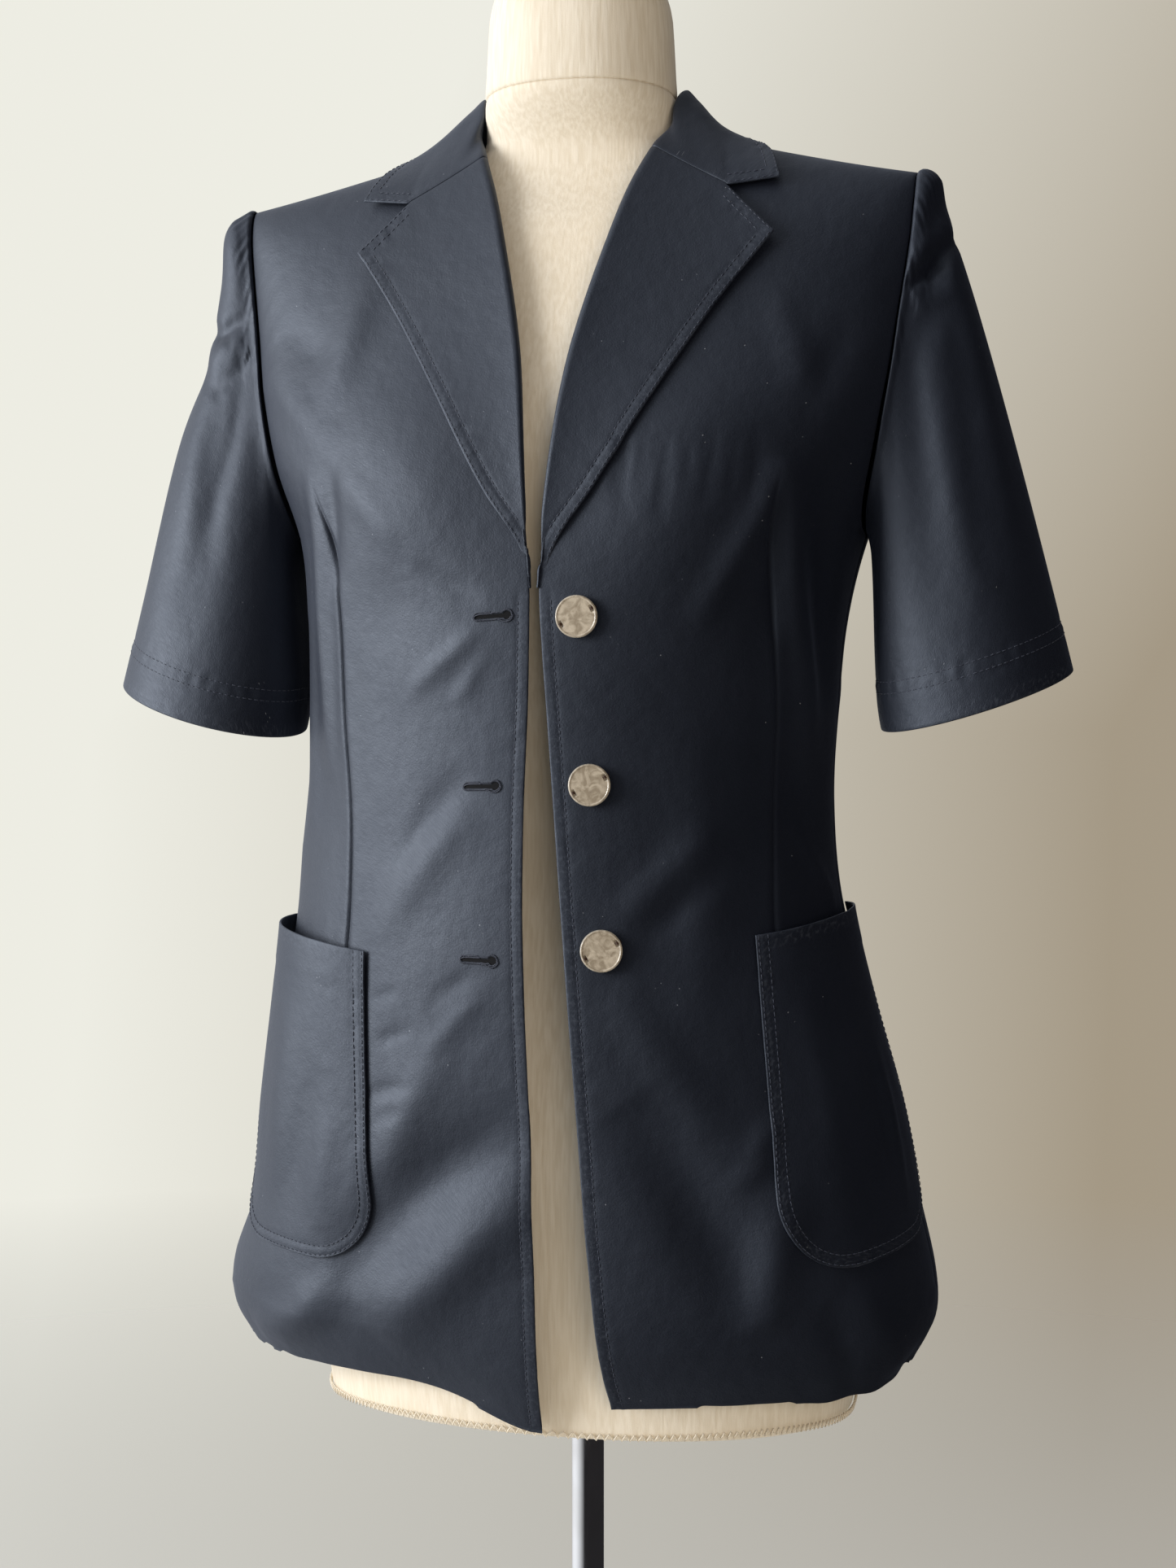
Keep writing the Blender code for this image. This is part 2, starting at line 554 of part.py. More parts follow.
def collar_half(side, stations):
    """One half of the collar as sections from the neck seam up the stand, over the roll and down the fall."""
    at = np.linspace(0, 1, len(COLLAR["row"]))
    row = TOP + curve(at, COLLAR["row"], stations)
    stand = curve(at, COLLAR["stand"], stations)
    x_front = inner_x(side, np.minimum(row, TOP - 0.001))
    x_seam = np.where(row < TOP, x_front, back_neck_x(row))
    turn = turn_at(side, x_seam, row)
    seam = coat(side, turn, row) + coat_normal(side, turn, row) * (SEAM + 0.0003)
    inward = -seam * (1, 1, 0)
    inward[:, 1] += 0.004
    inward /= np.linalg.norm(inward, axis=1, keepdims=True)
    up = np.array((0, 0, 1.0))
    high = stand[:, None]

    def on_coat(prefix, front_end, lift):
        first_row = float(on_front(side, *front_end)[1]) - TOP
        x = curve(at, np.r_[front_end[0], COLLAR[f"{prefix}_x"][1:]], stations)
        row = TOP + curve(at, np.r_[first_row, COLLAR[f"{prefix}_row"][1:]], stations)
        turn = turn_at(side, x, row)
        return coat(side, turn, row) + coat_normal(side, turn, row) * lift[:, None]

    fold = np.clip(stand / 0.030, 0.12, 1)
    near = COLLAR_WALL + SEAM + 0.0012
    notch = np.array((GORGE[1][0], GORGE[1][1] + 0.0010))
    middle = on_coat("middle", notch, near + 0.0060 * fold**2)
    edge = on_coat("edge", COLLAR_POINT, np.full(len(stations), near + 0.0006))
    stand_top = seam + up * high * 0.75 + inward * high * 0.14
    roll = seam + up * (high + 0.0030) - inward * 0.0022 * fold[:, None] + inward * high * 0.14
    over = roll * 0.72 + middle * 0.28 + up * (0.0016 * fold)[:, None] - inward * (0.0012 * fold)[:, None]
    knots = np.array((0, 0.20, 0.32, 0.46, 0.72, 1.0))
    controls = np.stack([seam, stand_top, roll, over, middle, edge])
    across = np.array((0, 0.10, 0.20, 0.27, 0.33, 0.40, 0.50, 0.66, 0.83, 1.0))
    section = np.stack([curve(knots, controls[:, i, k], across) for i in range(len(stations)) for k in range(3)])
    return section.reshape(len(stations), 3, len(across)).transpose(0, 2, 1)


def build_collar(finish):
    stations = np.linspace(0, 1, 13) ** 0.9
    right = collar_half("right", stations)
    left = collar_half("left", stations)
    middle = (right[-1] + left[-1]) / 2 * (0, 1, 1)
    points = np.concatenate([right[:-1], middle[None], left[-2::-1]])
    normal = grid_normal(points)
    normal *= np.sign(normal[len(points) // 2, -2, 1])
    wall("collar", points, normal, COLLAR_WALL, finish)


def build_pocket(side, finish):
    """Patch pocket, laid on the coat from its own distances. Its sides and bottom lie close; towards the mouth
    it stands away, most near the outer corner. The lower corners are quarter rounds."""
    size = POCKET[side]
    height = size["mouth"] - size["bottom"]
    up = np.array((0, 0.02, 0.06, 0.12, 0.20, 0.32, 0.46, 0.60, 0.74, 0.88, 1.0))
    share = np.linspace(0, 1, 12)
    corner = POCKET_CORNER
    short = corner - np.sqrt(np.clip(corner**2 - np.clip(corner - up * height, 0, corner) ** 2, 0, None))
    width = size["low"] + (size["high"] - size["low"]) * up[:, None]
    distance = size["inset"] + short[:, None] + (width - 2 * short[:, None]) * share
    across = np.clip((distance - size["inset"]) / width, 0, 1)
    level = up[:, None]
    z = size["bottom"] + height * level + size["rise"] * across * (0.4 + 0.6 * level)
    row = on_front(side, np.full(z.shape, 0.02), z)[1]
    start = front_boundary(side, row)
    turn = turn_after(side, row.ravel(), start.ravel(), distance.ravel()).reshape(z.shape)
    stand_off = size["open"] * np.sin(np.pi * across**1.25).clip(0) ** 0.8 * level**1.2
    normal = coat_normal(side, turn, row)
    grid = coat(side, turn, row) + normal * (WALL + SEAM + 0.0006 + stand_off)[..., None]
    wall(f"pocket_{side}", grid, normal, WALL - 0.0003, finish)


def rings_of(profile, sides):
    """Rings round the Z axis from (radius, height) pairs."""
    angle = 2 * np.pi * np.arange(sides) / sides
    return np.array([np.stack([r * np.cos(angle), r * np.sin(angle), np.full(sides, z)], -1) for r, z in profile])


def build_buttons(finish):
    profile = (
        (0.80, 0.0), (0.97, 0.18), (1.0, 0.55), (0.96, 0.90), (0.88, 1.0), (0.76, 0.88), (0.40, 0.80),
    )
    shape = rings_of([(r * BUTTON_RADIUS, h * BUTTON_THICK) for r, h in profile], 18)
    for number, height in enumerate(BUTTON_HEIGHTS, 1):
        row = on_front("left", 0.03, height)[1]
        turn = turn_after("left", row, front_boundary("left", row), BUTTON_FROM_EDGE)[0]
        normal = coat_normal("left", turn, row)
        side_way = np.cross((0, 0, 1.0), normal)
        side_way /= np.linalg.norm(side_way)
        up = np.cross(normal, side_way)
        place = coat("left", turn, row) + normal * (SEAM + 0.0002)
        turned(f"button_{number}", place + shape @ np.stack([side_way, up, normal]), finish)


def build_form(finish):
    """Torso through level ovals, wider at the bust, and the neck block above its seam, with a domed top."""
    sides = 32
    angle = 2 * np.pi * np.arange(sides) / sides
    heights = np.r_[FORM_FOOT, 0.698, np.linspace(0.73, 1.34, 15), 1.358, 1.372, 1.386, 1.398, 1.408, 1.417, 1.427,
                    NECK_SEAM - SEAM]
    rings = []
    for z in heights:
        half, front, back = (float(curve(FORM["height"], FORM[name], z)) for name in ("half", "front", "back"))
        shrink = 0.985 if z == FORM_FOOT else 1.0
        power = 2 / FORM_FULLNESS
        x = half * np.sign(np.cos(angle)) * np.abs(np.cos(angle)) ** power * shrink
        y = (front + back) / 2 + (back - front) / 2 * np.sign(np.sin(angle)) * np.abs(np.sin(angle)) ** power * shrink
        y = y - np.where(y < 0, bump(x, z, BUST_ON_FORM), 0)
        rings.append(np.stack([x, y, np.full(sides, z)], -1))
    turned("form_torso", np.array(rings), finish)
    neck = []
    for scale, z in ((1.0, NECK_SEAM), (0.975, 1.467), (0.95, 1.490), (0.90, 1.502), (0.77, 1.5105), (0.45, 1.5145),
                     (0.10, NECK_TOP)):
        ring = rings[-1] * (1, 1, 0)
        middle = ring.mean(axis=0)
        neck.append(middle + (ring - middle) * scale + (0, 0, z))
    turned("form_neck", np.array(neck), finish)


def build_stand(chrome):
    pole = ((POLE_RADIUS, FOOT_THICK + SEAM), (POLE_RADIUS, FORM_FOOT - SEAM))
    turned("pole", rings_of(pole, 18), chrome)
    foot = ((FOOT_RADIUS, 0.0), (FOOT_RADIUS, 0.007), (FOOT_RADIUS - 0.003, 0.010), (FOOT_RADIUS - 0.010, FOOT_THICK))
    turned("foot", rings_of(foot, 36), chrome)


for old in list(bpy.data.objects):
    bpy.data.objects.remove(old, do_unlink=True)

navy = material("navy sateen", (0.020, 0.024, 0.042), 0.55)
cream = material("cream jersey", (0.72, 0.66, 0.54), 0.85)
tube = material("chrome", (0.75, 0.75, 0.76), 0.12, 1.0)
pearl = material("pearl", (0.62, 0.58, 0.50), 0.25)

build_form(cream)
build_stand(tube)
for side in SIDES:
    build_front(side, navy)
    build_back(side, navy)
    build_sleeve(side, navy)
    build_lapel(side, navy)
    build_pocket(side, navy)
build_collar(navy)
build_buttons(pearl)
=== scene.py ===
"""Looks of the short-sleeve blazer on its dress form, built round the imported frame.

Metres, +Z up, in the frame's own axes: the coat's front faces -Y and the wearer's left is +X. The sections
follow the object as it is put together: stand, dress form, the coat's body, sleeves, lapels, collar,
pockets, buttonholes and buttons, then the floor and the lights.
"""

import bpy
import numpy as np
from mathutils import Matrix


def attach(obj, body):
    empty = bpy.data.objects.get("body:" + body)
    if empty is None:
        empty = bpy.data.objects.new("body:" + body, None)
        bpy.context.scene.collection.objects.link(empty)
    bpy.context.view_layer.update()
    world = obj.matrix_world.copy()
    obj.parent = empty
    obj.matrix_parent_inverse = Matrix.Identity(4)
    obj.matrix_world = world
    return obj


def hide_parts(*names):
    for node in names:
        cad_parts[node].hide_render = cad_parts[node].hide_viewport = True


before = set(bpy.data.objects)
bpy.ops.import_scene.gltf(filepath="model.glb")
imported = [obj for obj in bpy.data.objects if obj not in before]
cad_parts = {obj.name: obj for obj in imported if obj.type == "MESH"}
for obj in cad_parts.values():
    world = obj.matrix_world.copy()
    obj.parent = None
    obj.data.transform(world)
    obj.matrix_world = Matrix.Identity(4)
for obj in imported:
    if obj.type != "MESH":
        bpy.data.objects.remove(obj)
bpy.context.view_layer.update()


# Camera. It stands at chest height in front of the wearer's left side and looks level at the coat, close
# enough that the pole's foot is out of the picture.
VIEW_AZIMUTH = np.radians(14.0)
VIEW_DISTANCE = 1.30
VIEW_HEIGHT = 1.08
VIEW_DOWN = np.radians(1.33)
VIEW_LENS = 50.6
camera = bpy.data.objects.new("camera", bpy.data.cameras.new("camera"))
bpy.context.scene.collection.objects.link(camera)
bpy.context.scene.camera = camera
camera.location = (
    np.sin(VIEW_AZIMUTH) * VIEW_DISTANCE,
    -np.cos(VIEW_AZIMUTH) * VIEW_DISTANCE,
    VIEW_HEIGHT,
)
camera.rotation_euler = (np.pi / 2 - VIEW_DOWN, 0, VIEW_AZIMUTH)
camera.data.sensor_fit = "VERTICAL"
camera.data.sensor_height = 36
camera.data.lens = VIEW_LENS


# Stand. A chromed steel tube carries the form, and is screwed into a turned round foot. Both are polished,
# with fine wiping marks.
POLE_RADIUS = 0.0095
FOOT_RADIUS = 0.170
FOOT_THICK = 0.012
FORM_FOOT = 0.690
SEAM = 0.0003


def node(tree, kind, inputs=None, **settings):
    """One shader node: inputs by name or number take a value, or another node's socket to be linked."""
    made = tree.nodes.new(kind)
    for name, value in settings.items():
        setattr(made, name, value)
    for name, value in (inputs or {}).items():
        if isinstance(value, bpy.types.NodeSocket):
            tree.links.new(value, made.inputs[name])
        else:
            made.inputs[name].default_value = value
    return made


def new_material(name, **sockets):
    """A new material, its node tree and its Principled shader, which has the given plain socket values."""
    made = bpy.data.materials.new(name)
    made.use_nodes = True
    shader = made.node_tree.nodes["Principled BSDF"]
    for socket, value in sockets.items():
        shader.inputs[socket.replace("_", " ").title().replace("Ior", "IOR")].default_value = value
    return made, made.node_tree, shader


def mix_colour(tree, share, low, high):
    """Colour between low and high by share, each a value or a socket. Returns the colour socket."""
    made = tree.nodes.new("ShaderNodeMix")
    made.data_type = "RGBA"
    for place, value in ((0, share), (6, low), (7, high)):
        if isinstance(value, bpy.types.NodeSocket):
            tree.links.new(value, made.inputs[place])
        else:
            made.inputs[place].default_value = value
    return made.outputs[2]


def level(tree, value, low, high, to_low=0.0, to_high=1.0):
    """Value carried from the range low..high to the range to_low..to_high, and held at its ends."""
    made = node(tree, "ShaderNodeMapRange", {0: value, 1: low, 2: high, 3: to_low, 4: to_high})
    return made.outputs[0]


def noise(tree, place, scale, detail):
    """Grey value of a noise texture at a place."""
    values = {"Vector": place, "Scale": scale, "Detail": detail}
    return node(tree, "ShaderNodeTexNoise", values).outputs["Fac"]


def combine(tree, operation, *values):
    """Result of one sum or comparison of values, each a number or a socket."""
    return node(tree, "ShaderNodeMath", dict(enumerate(values)), operation=operation).outputs[0]


def show(name, mesh, finish):
    """The mesh as a smooth object at the origin, in its finish."""
    mesh.materials.append(finish)
    mesh.shade_smooth()
    made = bpy.data.objects.new(name, mesh)
    bpy.context.scene.collection.objects.link(made)
    return made


def closed_rings(name, rings, finish, ends=None):
    """Solid through rings of points from bottom to top. Each end is closed by a point: the given one, or
    else the middle of its ring."""
    count, sides = rings.shape[:2]
    index = np.arange(count * sides).reshape(count, sides)
    after = np.roll(index, -1, axis=1)
    walls = np.stack([index[:-1], after[:-1], after[1:], index[1:]], -1).reshape(-1, 4).tolist()
    low, high = count * sides, count * sides + 1
    walls += [[low, int(b), int(a)] for a, b in zip(index[0], after[0])]
    walls += [[high, int(a), int(b)] for a, b in zip(index[-1], after[-1])]
    ends = rings[[0, -1]].mean(axis=1) if ends is None else ends
    points = np.concatenate([rings.reshape(-1, 3), ends])
    mesh = bpy.data.meshes.new(name)
    mesh.from_pydata(points.tolist(), [], walls)
    return show(name, mesh, finish)


def turned(name, profile, finish, sides=96):
    """A turned solid: each (radius, height) of the profile is carried round the Z axis as
    radius * (cos a, sin a). The first and the last pair close on the axis."""
    radius, height = np.array(profile, float)[1:-1].T
    angle = 2 * np.pi * np.arange(sides) / sides
    ring = np.stack([np.cos(angle), np.sin(angle)], -1)
    high = np.broadcast_to(height[:, None, None], (len(height), sides, 1))
    rings = np.concatenate([radius[:, None, None] * ring, high], -1)
    made = closed_rings(name, rings, finish, [(0, 0, profile[0][1]), (0, 0, profile[-1][1])])
    made.data.set_sharp_from_angle(angle=np.radians(30))
    return made


def chrome_finish():
    """Polished chrome: long faint wiping marks in the roughness, and a little grey bloom."""
    made, tree, shader = new_material("chrome", metallic=1.0, base_color=(0.92, 0.92, 0.93, 1))
    place = node(tree, "ShaderNodeTexCoord").outputs["Object"]
    drawn = node(tree, "ShaderNodeMapping", {"Vector": place, "Scale": (1, 1, 0.06)}).outputs[0]
    marks = noise(tree, drawn, 420.0, 4.0)
    bloom = noise(tree, place, 24.0, 3.0)
    wiped = level(tree, marks, 0.4, 0.7, 0.10, 0.22)
    rough = combine(tree, "ADD", wiped, level(tree, bloom, 0.5, 0.75, 0.0, 0.10))
    tree.links.new(rough, shader.inputs["Roughness"])
    grey = mix_colour(tree, level(tree, bloom, 0.45, 0.75), (0.94, 0.94, 0.95, 1), (0.80, 0.79, 0.78, 1))
    tree.links.new(grey, shader.inputs["Base Color"])
    return made


chrome = chrome_finish()
pole = turned(
    "pole_tube",
    ((0, FOOT_THICK + SEAM), (POLE_RADIUS, FOOT_THICK + SEAM), (POLE_RADIUS, 0.2), (POLE_RADIUS, 0.45),
     (POLE_RADIUS, FORM_FOOT - SEAM), (0, FORM_FOOT - SEAM)),
    chrome,
)
foot = turned(
    "foot_plate",
    ((0, 0), (FOOT_RADIUS - 0.0015, 0), (FOOT_RADIUS, 0.0015), (FOOT_RADIUS, 0.0065),
     (FOOT_RADIUS - 0.001, 0.0085),
     (FOOT_RADIUS - 0.004, 0.0105), (FOOT_RADIUS - 0.010, 0.0118), (FOOT_RADIUS - 0.016, FOOT_THICK),
     (0.05, FOOT_THICK), (0, FOOT_THICK)),
    chrome,
    sides=192,
)
for piece, stands_for in ((pole, "pole"), (foot, "foot")):
    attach(piece, "root")
    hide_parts(stands_for)


# Dress form. A limbless padded torso and a neck block, covered in cream crinkled jersey whose fine ribs run
# up and down. The cover is joined at the neck with a narrow seam and is overlocked along its lower edge.
NECK_SEAM = 1.4450
NECK_TOP = 1.5150


def table(columns, *rows):
    """Rows of numbers as one array for each named column."""
    return dict(zip(columns.split(), np.array(rows).T))


FORM = table(
    "height half front back",
    (0.690, 0.1560, -0.0900, 0.0980),
    (0.720, 0.1600, -0.0930, 0.1040),
    (0.780, 0.1630, -0.0950, 0.1100),
    (0.840, 0.1610, -0.0940, 0.1100),
    (0.900, 0.1500, -0.0890, 0.0980),
    (0.960, 0.1330, -0.0820, 0.0820),
    (1.020, 0.1210, -0.0770, 0.0700),
    (1.060, 0.1200, -0.0780, 0.0690),
    (1.100, 0.1260, -0.0830, 0.0720),
    (1.150, 0.1380, -0.0930, 0.0780),
    (1.200, 0.1460, -0.0990, 0.0850),
    (1.250, 0.1510, -0.0950, 0.0900),
    (1.300, 0.1580, -0.0830, 0.0900),
    (1.340, 0.1660, -0.0700, 0.0830),
    (1.370, 0.1560, -0.0590, 0.0710),
    (1.386, 0.1350, -0.0500, 0.0590),
    (1.398, 0.1060, -0.0450, 0.0500),
    (1.408, 0.0800, -0.0430, 0.0430),
    (1.417, 0.0615, -0.0450, 0.0375),
    (1.427, 0.0570, -0.0520, 0.0350),
    (1.436, 0.0560, -0.0600, 0.0338),
    (1.4447, 0.0555, -0.0645, 0.0335),
)
FORM_FULLNESS = 2.25
BUST = dict(aside=0.082, height=1.205, wide=0.046, tall=0.052)
BUST_ON_FORM = 0.013
NECK_DOME = ((1.0, NECK_SEAM), (0.985, 1.456), (0.975, 1.467), (0.962, 1.480), (0.950, 1.490), (0.928, 1.497),
             (0.90, 1.502), (0.85, 1.507), (0.77, 1.5105), (0.63, 1.5132), (0.45, 1.5145), (0.26, 1.5149),
             (0.10, NECK_TOP))


def curve(xs, ys, at):
    """Smooth curve through the points (xs, ys), read at: cubic pieces whose slopes at the points are the mean
    slopes of the chords beside them."""
    xs = np.asarray(xs, float)
    ys = np.asarray(ys, float)
    slopes = np.gradient(ys, xs)
    i = np.clip(np.searchsorted(xs, at, side="right") - 1, 0, len(xs) - 2)
    step = xs[i + 1] - xs[i]
    s = np.clip((at - xs[i]) / step, 0, 1)
    ends = (1 + 2 * s) * (1 - s) ** 2 * ys[i] + s * s * (3 - 2 * s) * ys[i + 1]
    return ends + step * (s * (1 - s) ** 2 * slopes[i] - s * s * (1 - s) * slopes[i + 1])


def bump(x, z, height):
    """Fullness over each side of the bust, as a rounded hill on the front."""
    return height * np.exp(
        -(((np.abs(x) - BUST["aside"]) / BUST["wide"]) ** 2) - ((z - BUST["height"]) / BUST["tall"]) ** 2
    )


def form_ring(angle, z):
    """The form's section at a height: x = half * sign(cos) |cos|^p, y = middle + depth * sign(sin) |sin|^p,
    with p = 2 / fullness, and the bust added in front."""
    half, front, back = (curve(FORM["height"], FORM[name], z) for name in ("half", "front", "back"))
    power = 2 / FORM_FULLNESS
    x = half * np.sign(np.cos(angle)) * np.abs(np.cos(angle)) ** power
    y = (front + back) / 2 + (back - front) / 2 * np.sign(np.sin(angle)) * np.abs(np.sin(angle)) ** power
    y = y - np.where(y < 0, bump(x, z, BUST_ON_FORM), 0)
    return np.stack(np.broadcast_arrays(x, y, z), -1)


def place_mesh(name, points, faces, finish):
    """A smooth mesh object from points and faces."""
    mesh = bpy.data.meshes.new(name)
    mesh.from_pydata(np.asarray(points).tolist(), [], np.asarray(faces).tolist())
    return show(name, mesh, finish)


def jersey_finish():
    """Crinkled cotton jersey: cream, with painted shade darkening the furrows, a fine knit grain and faint
    yellowing in patches."""
    made, tree, shader = new_material(
        "cream_jersey", roughness=0.88, sheen_weight=0.25, sheen_roughness=0.5, specular_ior_level=0.25
    )
    place = node(tree, "ShaderNodeTexCoord").outputs["Object"]
    drawn = node(tree, "ShaderNodeMapping", {"Vector": place, "Scale": (1, 1, 0.07)}).outputs[0]
    ribs = noise(tree, drawn, 520.0, 2.0)
    knit = noise(tree, place, 1500.0, 1.0)
    stain = noise(tree, place, 9.0, 4.0)
    # painted shade: the colour darkens where the ribs' furrows lie low
    furrow_shaded = mix_colour(tree, level(tree, ribs, 0.35, 0.65), (0.77, 0.685, 0.545, 1), (0.86, 0.785, 0.655, 1))
    aged = mix_colour(tree, level(tree, stain, 0.45, 0.75, 0.0, 0.5), furrow_shaded, (0.80, 0.69, 0.52, 1))
    tree.links.new(aged, shader.inputs["Base Color"])
    height = combine(tree, "MULTIPLY_ADD", knit, 0.25, ribs)
    relief = node(tree, "ShaderNodeBump", {"Strength": 0.30, "Distance": 0.0006, "Height": height})
    tree.links.new(relief.outputs[0], shader.inputs["Normal"])
    return made


FORM_SIDES = 320
NECK_SIDES = 256
jersey = jersey_finish()
torso_heights = np.r_[FORM_FOOT, 0.6908, 0.6925, 0.696, np.linspace(0.702, 1.436, 118), 1.4405, 1.4432,
                      NECK_SEAM - SEAM]
torso_angle = 2 * np.pi * np.arange(FORM_SIDES) / FORM_SIDES
torso_rings = form_ring(torso_angle[None, :], torso_heights[:, None])
roll_in = np.interp(torso_heights, (FORM_FOOT, 0.6908, 0.6925, 0.696), (0.986, 0.993, 0.998, 1.0))
roll_in = roll_in * np.interp(torso_heights, (1.436, 1.4405, 1.4432, NECK_SEAM), (1, 0.997, 0.990, 0.972))
torso_middle = torso_rings.mean(axis=1, keepdims=True)
inward = np.stack([roll_in, roll_in, 1 + 0 * roll_in], -1)[:, None]
torso_rings = torso_middle + (torso_rings - torso_middle) * inward
torso = closed_rings("form_body", torso_rings, jersey)

neck_angle = 2 * np.pi * np.arange(NECK_SIDES) / NECK_SIDES
neck_base = form_ring(neck_angle, np.full(NECK_SIDES, NECK_SEAM - SEAM)) * (1, 1, 0)
neck_middle = neck_base.mean(axis=0)
neck_high = np.r_[NECK_SEAM, NECK_SEAM + 0.0006, NECK_SEAM + 0.0018, np.linspace(1.4500, 1.4960, 24),
                  np.linspace(1.4985, 1.5149, 18), NECK_TOP]
dome_scale = np.interp(neck_high, [h for _, h in NECK_DOME], [s for s, _ in NECK_DOME])
dome_scale = dome_scale * np.interp(neck_high, (NECK_SEAM, NECK_SEAM + 0.0006, NECK_SEAM + 0.0018, 1.45),
                                    (0.972, 0.988, 0.997, 1))
neck_rings = neck_middle + (neck_base - neck_middle)[None] * dome_scale[:, None, None]
neck_rings = neck_rings + np.array((0, 0, 1.0)) * neck_high[:, None, None]
neck = closed_rings("form_neck_block", neck_rings, jersey)
# the overlocked lower edge: loops of thread that lean over it, side by side
LOOPS = 220
LOOP_POINTS = 6 * LOOPS
number = np.arange(LOOP_POINTS)
edge_ring = form_ring(2 * np.pi * number / LOOP_POINTS, np.full(LOOP_POINTS, 0.6925))
edge_out = edge_ring - torso_middle[2]
edge_out *= (1, 1, 0)
edge_out /= np.linalg.norm(edge_out, axis=-1, keepdims=True)
swing = np.array((0, 0.5, 1, 0.6, -0.2, -0.7))
loop_out = 0.0013 + 0.0005 * np.sin(number * 2 * np.pi / 6 + 0.6) + 0.0004 * np.sin(number / 61)
loop_high = 0.0022 * np.tile(swing, LOOPS) + 0.0008 * np.sin(number / 43)
loop_line = edge_ring + edge_out * loop_out[:, None] + np.array((0, 0, 1.0)) * loop_high[:, None]
ahead = np.roll(loop_line, -1, axis=0) - np.roll(loop_line, 1, axis=0)
ahead /= np.linalg.norm(ahead, axis=-1, keepdims=True)
beside = np.cross(ahead, edge_out)
thread_angle = 2 * np.pi * np.arange(5) / 5
thread_ring = edge_out[:, None] * np.cos(thread_angle)[:, None]
thread_ring = thread_ring + beside[:, None] * np.sin(thread_angle)[:, None]
loop_points = (loop_line[:, None] + 0.0005 * thread_ring).reshape(-1, 3)
index = np.arange(len(loop_points)).reshape(-1, 5)
index = np.concatenate([index, index[:1]])
after = np.roll(index, -1, axis=1)
loop_faces = np.stack([index[:-1], index[1:], after[1:], after[:-1]], -1).reshape(-1, 4)
overlock = place_mesh("form_overlock", loop_points, loop_faces, jersey)
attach(overlock, "root")
for piece, stands_for in ((torso, "form_torso"), (neck, "form_neck")):
    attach(piece, "root")
    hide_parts(stands_for)


# Coat, fronts and backs. Four panels of navy cotton sateen, cut to the waist, with a dart from each bust
# to the pocket, sewn at the shoulders, sides and centre back. The front edges are faced and topstitched.
CLOTH = 0.0014  # thickness of the cloth
SEWN_ROW = 0.0065  # a topstitch row's distance from its edge
HEM_TURNING = 0.034  # how far up the hem is turned inside
SIDES = {"right": -1, "left": 1}
# A row for each level from the hem to the shoulder seam: height at the centre, drop of the row's outer end,
# half width on the wearer's right and left, middle of the depth, depth to front and back, fullness
COAT = table(
    "height drop right left middle front back fullness",
    (0.712, 0.000, 0.204, 0.195, 0.000, 0.0990, 0.114, 2.20),
    (0.732, 0.000, 0.213, 0.2045, 0.000, 0.1080, 0.125, 2.20),
    (0.760, 0.000, 0.213, 0.2035, 0.000, 0.1145, 0.130, 2.25),
    (0.805, 0.000, 0.200, 0.194, -0.002, 0.1135, 0.126, 2.30),
    (0.860, 0.000, 0.1935, 0.183, -0.004, 0.1080, 0.117, 2.30),
    (0.920, 0.000, 0.1825, 0.166, -0.006, 0.1040, 0.104, 2.25),
    (0.980, 0.000, 0.169, 0.151, -0.008, 0.1000, 0.091, 2.20),
    (1.035, 0.000, 0.162, 0.147, -0.008, 0.0985, 0.084, 2.20),
    (1.090, 0.000, 0.163, 0.149, -0.007, 0.1010, 0.085, 2.20),
    (1.145, 0.001, 0.166, 0.153, -0.004, 0.1080, 0.091, 2.25),
    (1.195, 0.003, 0.171, 0.164, 0.000, 0.1110, 0.098, 2.35),
    (1.245, 0.008, 0.187, 0.183, 0.000, 0.1030, 0.103, 2.50),
    (1.295, 0.017, 0.197, 0.195, -0.001, 0.0880, 0.103, 2.60),
    (1.345, 0.029, 0.201, 0.200, -0.004, 0.0700, 0.096, 2.70),
    (1.387, 0.039, 0.203, 0.201, -0.008, 0.0510, 0.080, 3.00),
    (1.419, 0.046, 0.204, 0.199, -0.011, 0.0330, 0.058, 3.50),
    (1.437, 0.048, 0.204, 0.197, -0.012, 0.0165, 0.031, 4.00),
    (1.4410, 0.048, 0.204, 0.197, -0.012, 0.0000, 0.000, 4.00),
)
TOP = len(COAT["height"]) - 1
UNDERARM = 10.0
ARMHOLE_CUT = {"right": 25.0, "left": 29.0}
# how much of the armhole's cut is lost on the way up to the shoulder
ARMHOLE_STRAIGHTENS = {"right": 0.70, "left": 0.48}
SHOULDER_CUT = 9.0
HEM_DIP = {"right": 0.022, "left": 0.004}
HEM_AT_SIDE = {"right": 0.006, "left": 0.017}
HEM_LIFT = {"right": 0.006, "left": 0.002}
HEM_RIPPLE = {"right": 0.0012, "left": 0.0026}
FRONT_EDGE = {
    "right": ((0.690, 0.0010), (0.789, 0.0010), (0.864, 0.0040), (0.933, 0.0075), (0.980, 0.0090),
              (1.040, 0.0085), (1.100, 0.0055), (1.158, 0.0040)),
    "left": ((0.690, 0.0370), (0.789, 0.0290), (0.864, 0.0220), (0.933, 0.0160), (0.990, 0.0115),
             (1.070, 0.0060), (1.120, 0.0030), (1.158, 0.0015)),
}
ROLL_LINE = {
    "right": ((1.158, 0.0040), (1.2135, 0.0090), (1.285, 0.0175), (1.345, 0.0310), (1.384, 0.0425),
              (1.404, 0.0505)),
    "left": ((1.158, 0.0015), (1.2100, 0.0065), (1.285, 0.0165), (1.345, 0.0310), (1.384, 0.0425),
             (1.404, 0.0505)),
}
NECK_POINT = 0.0635
BACK_NECK_ROW = TOP + 1.90
BUST_ON_COAT = 0.007
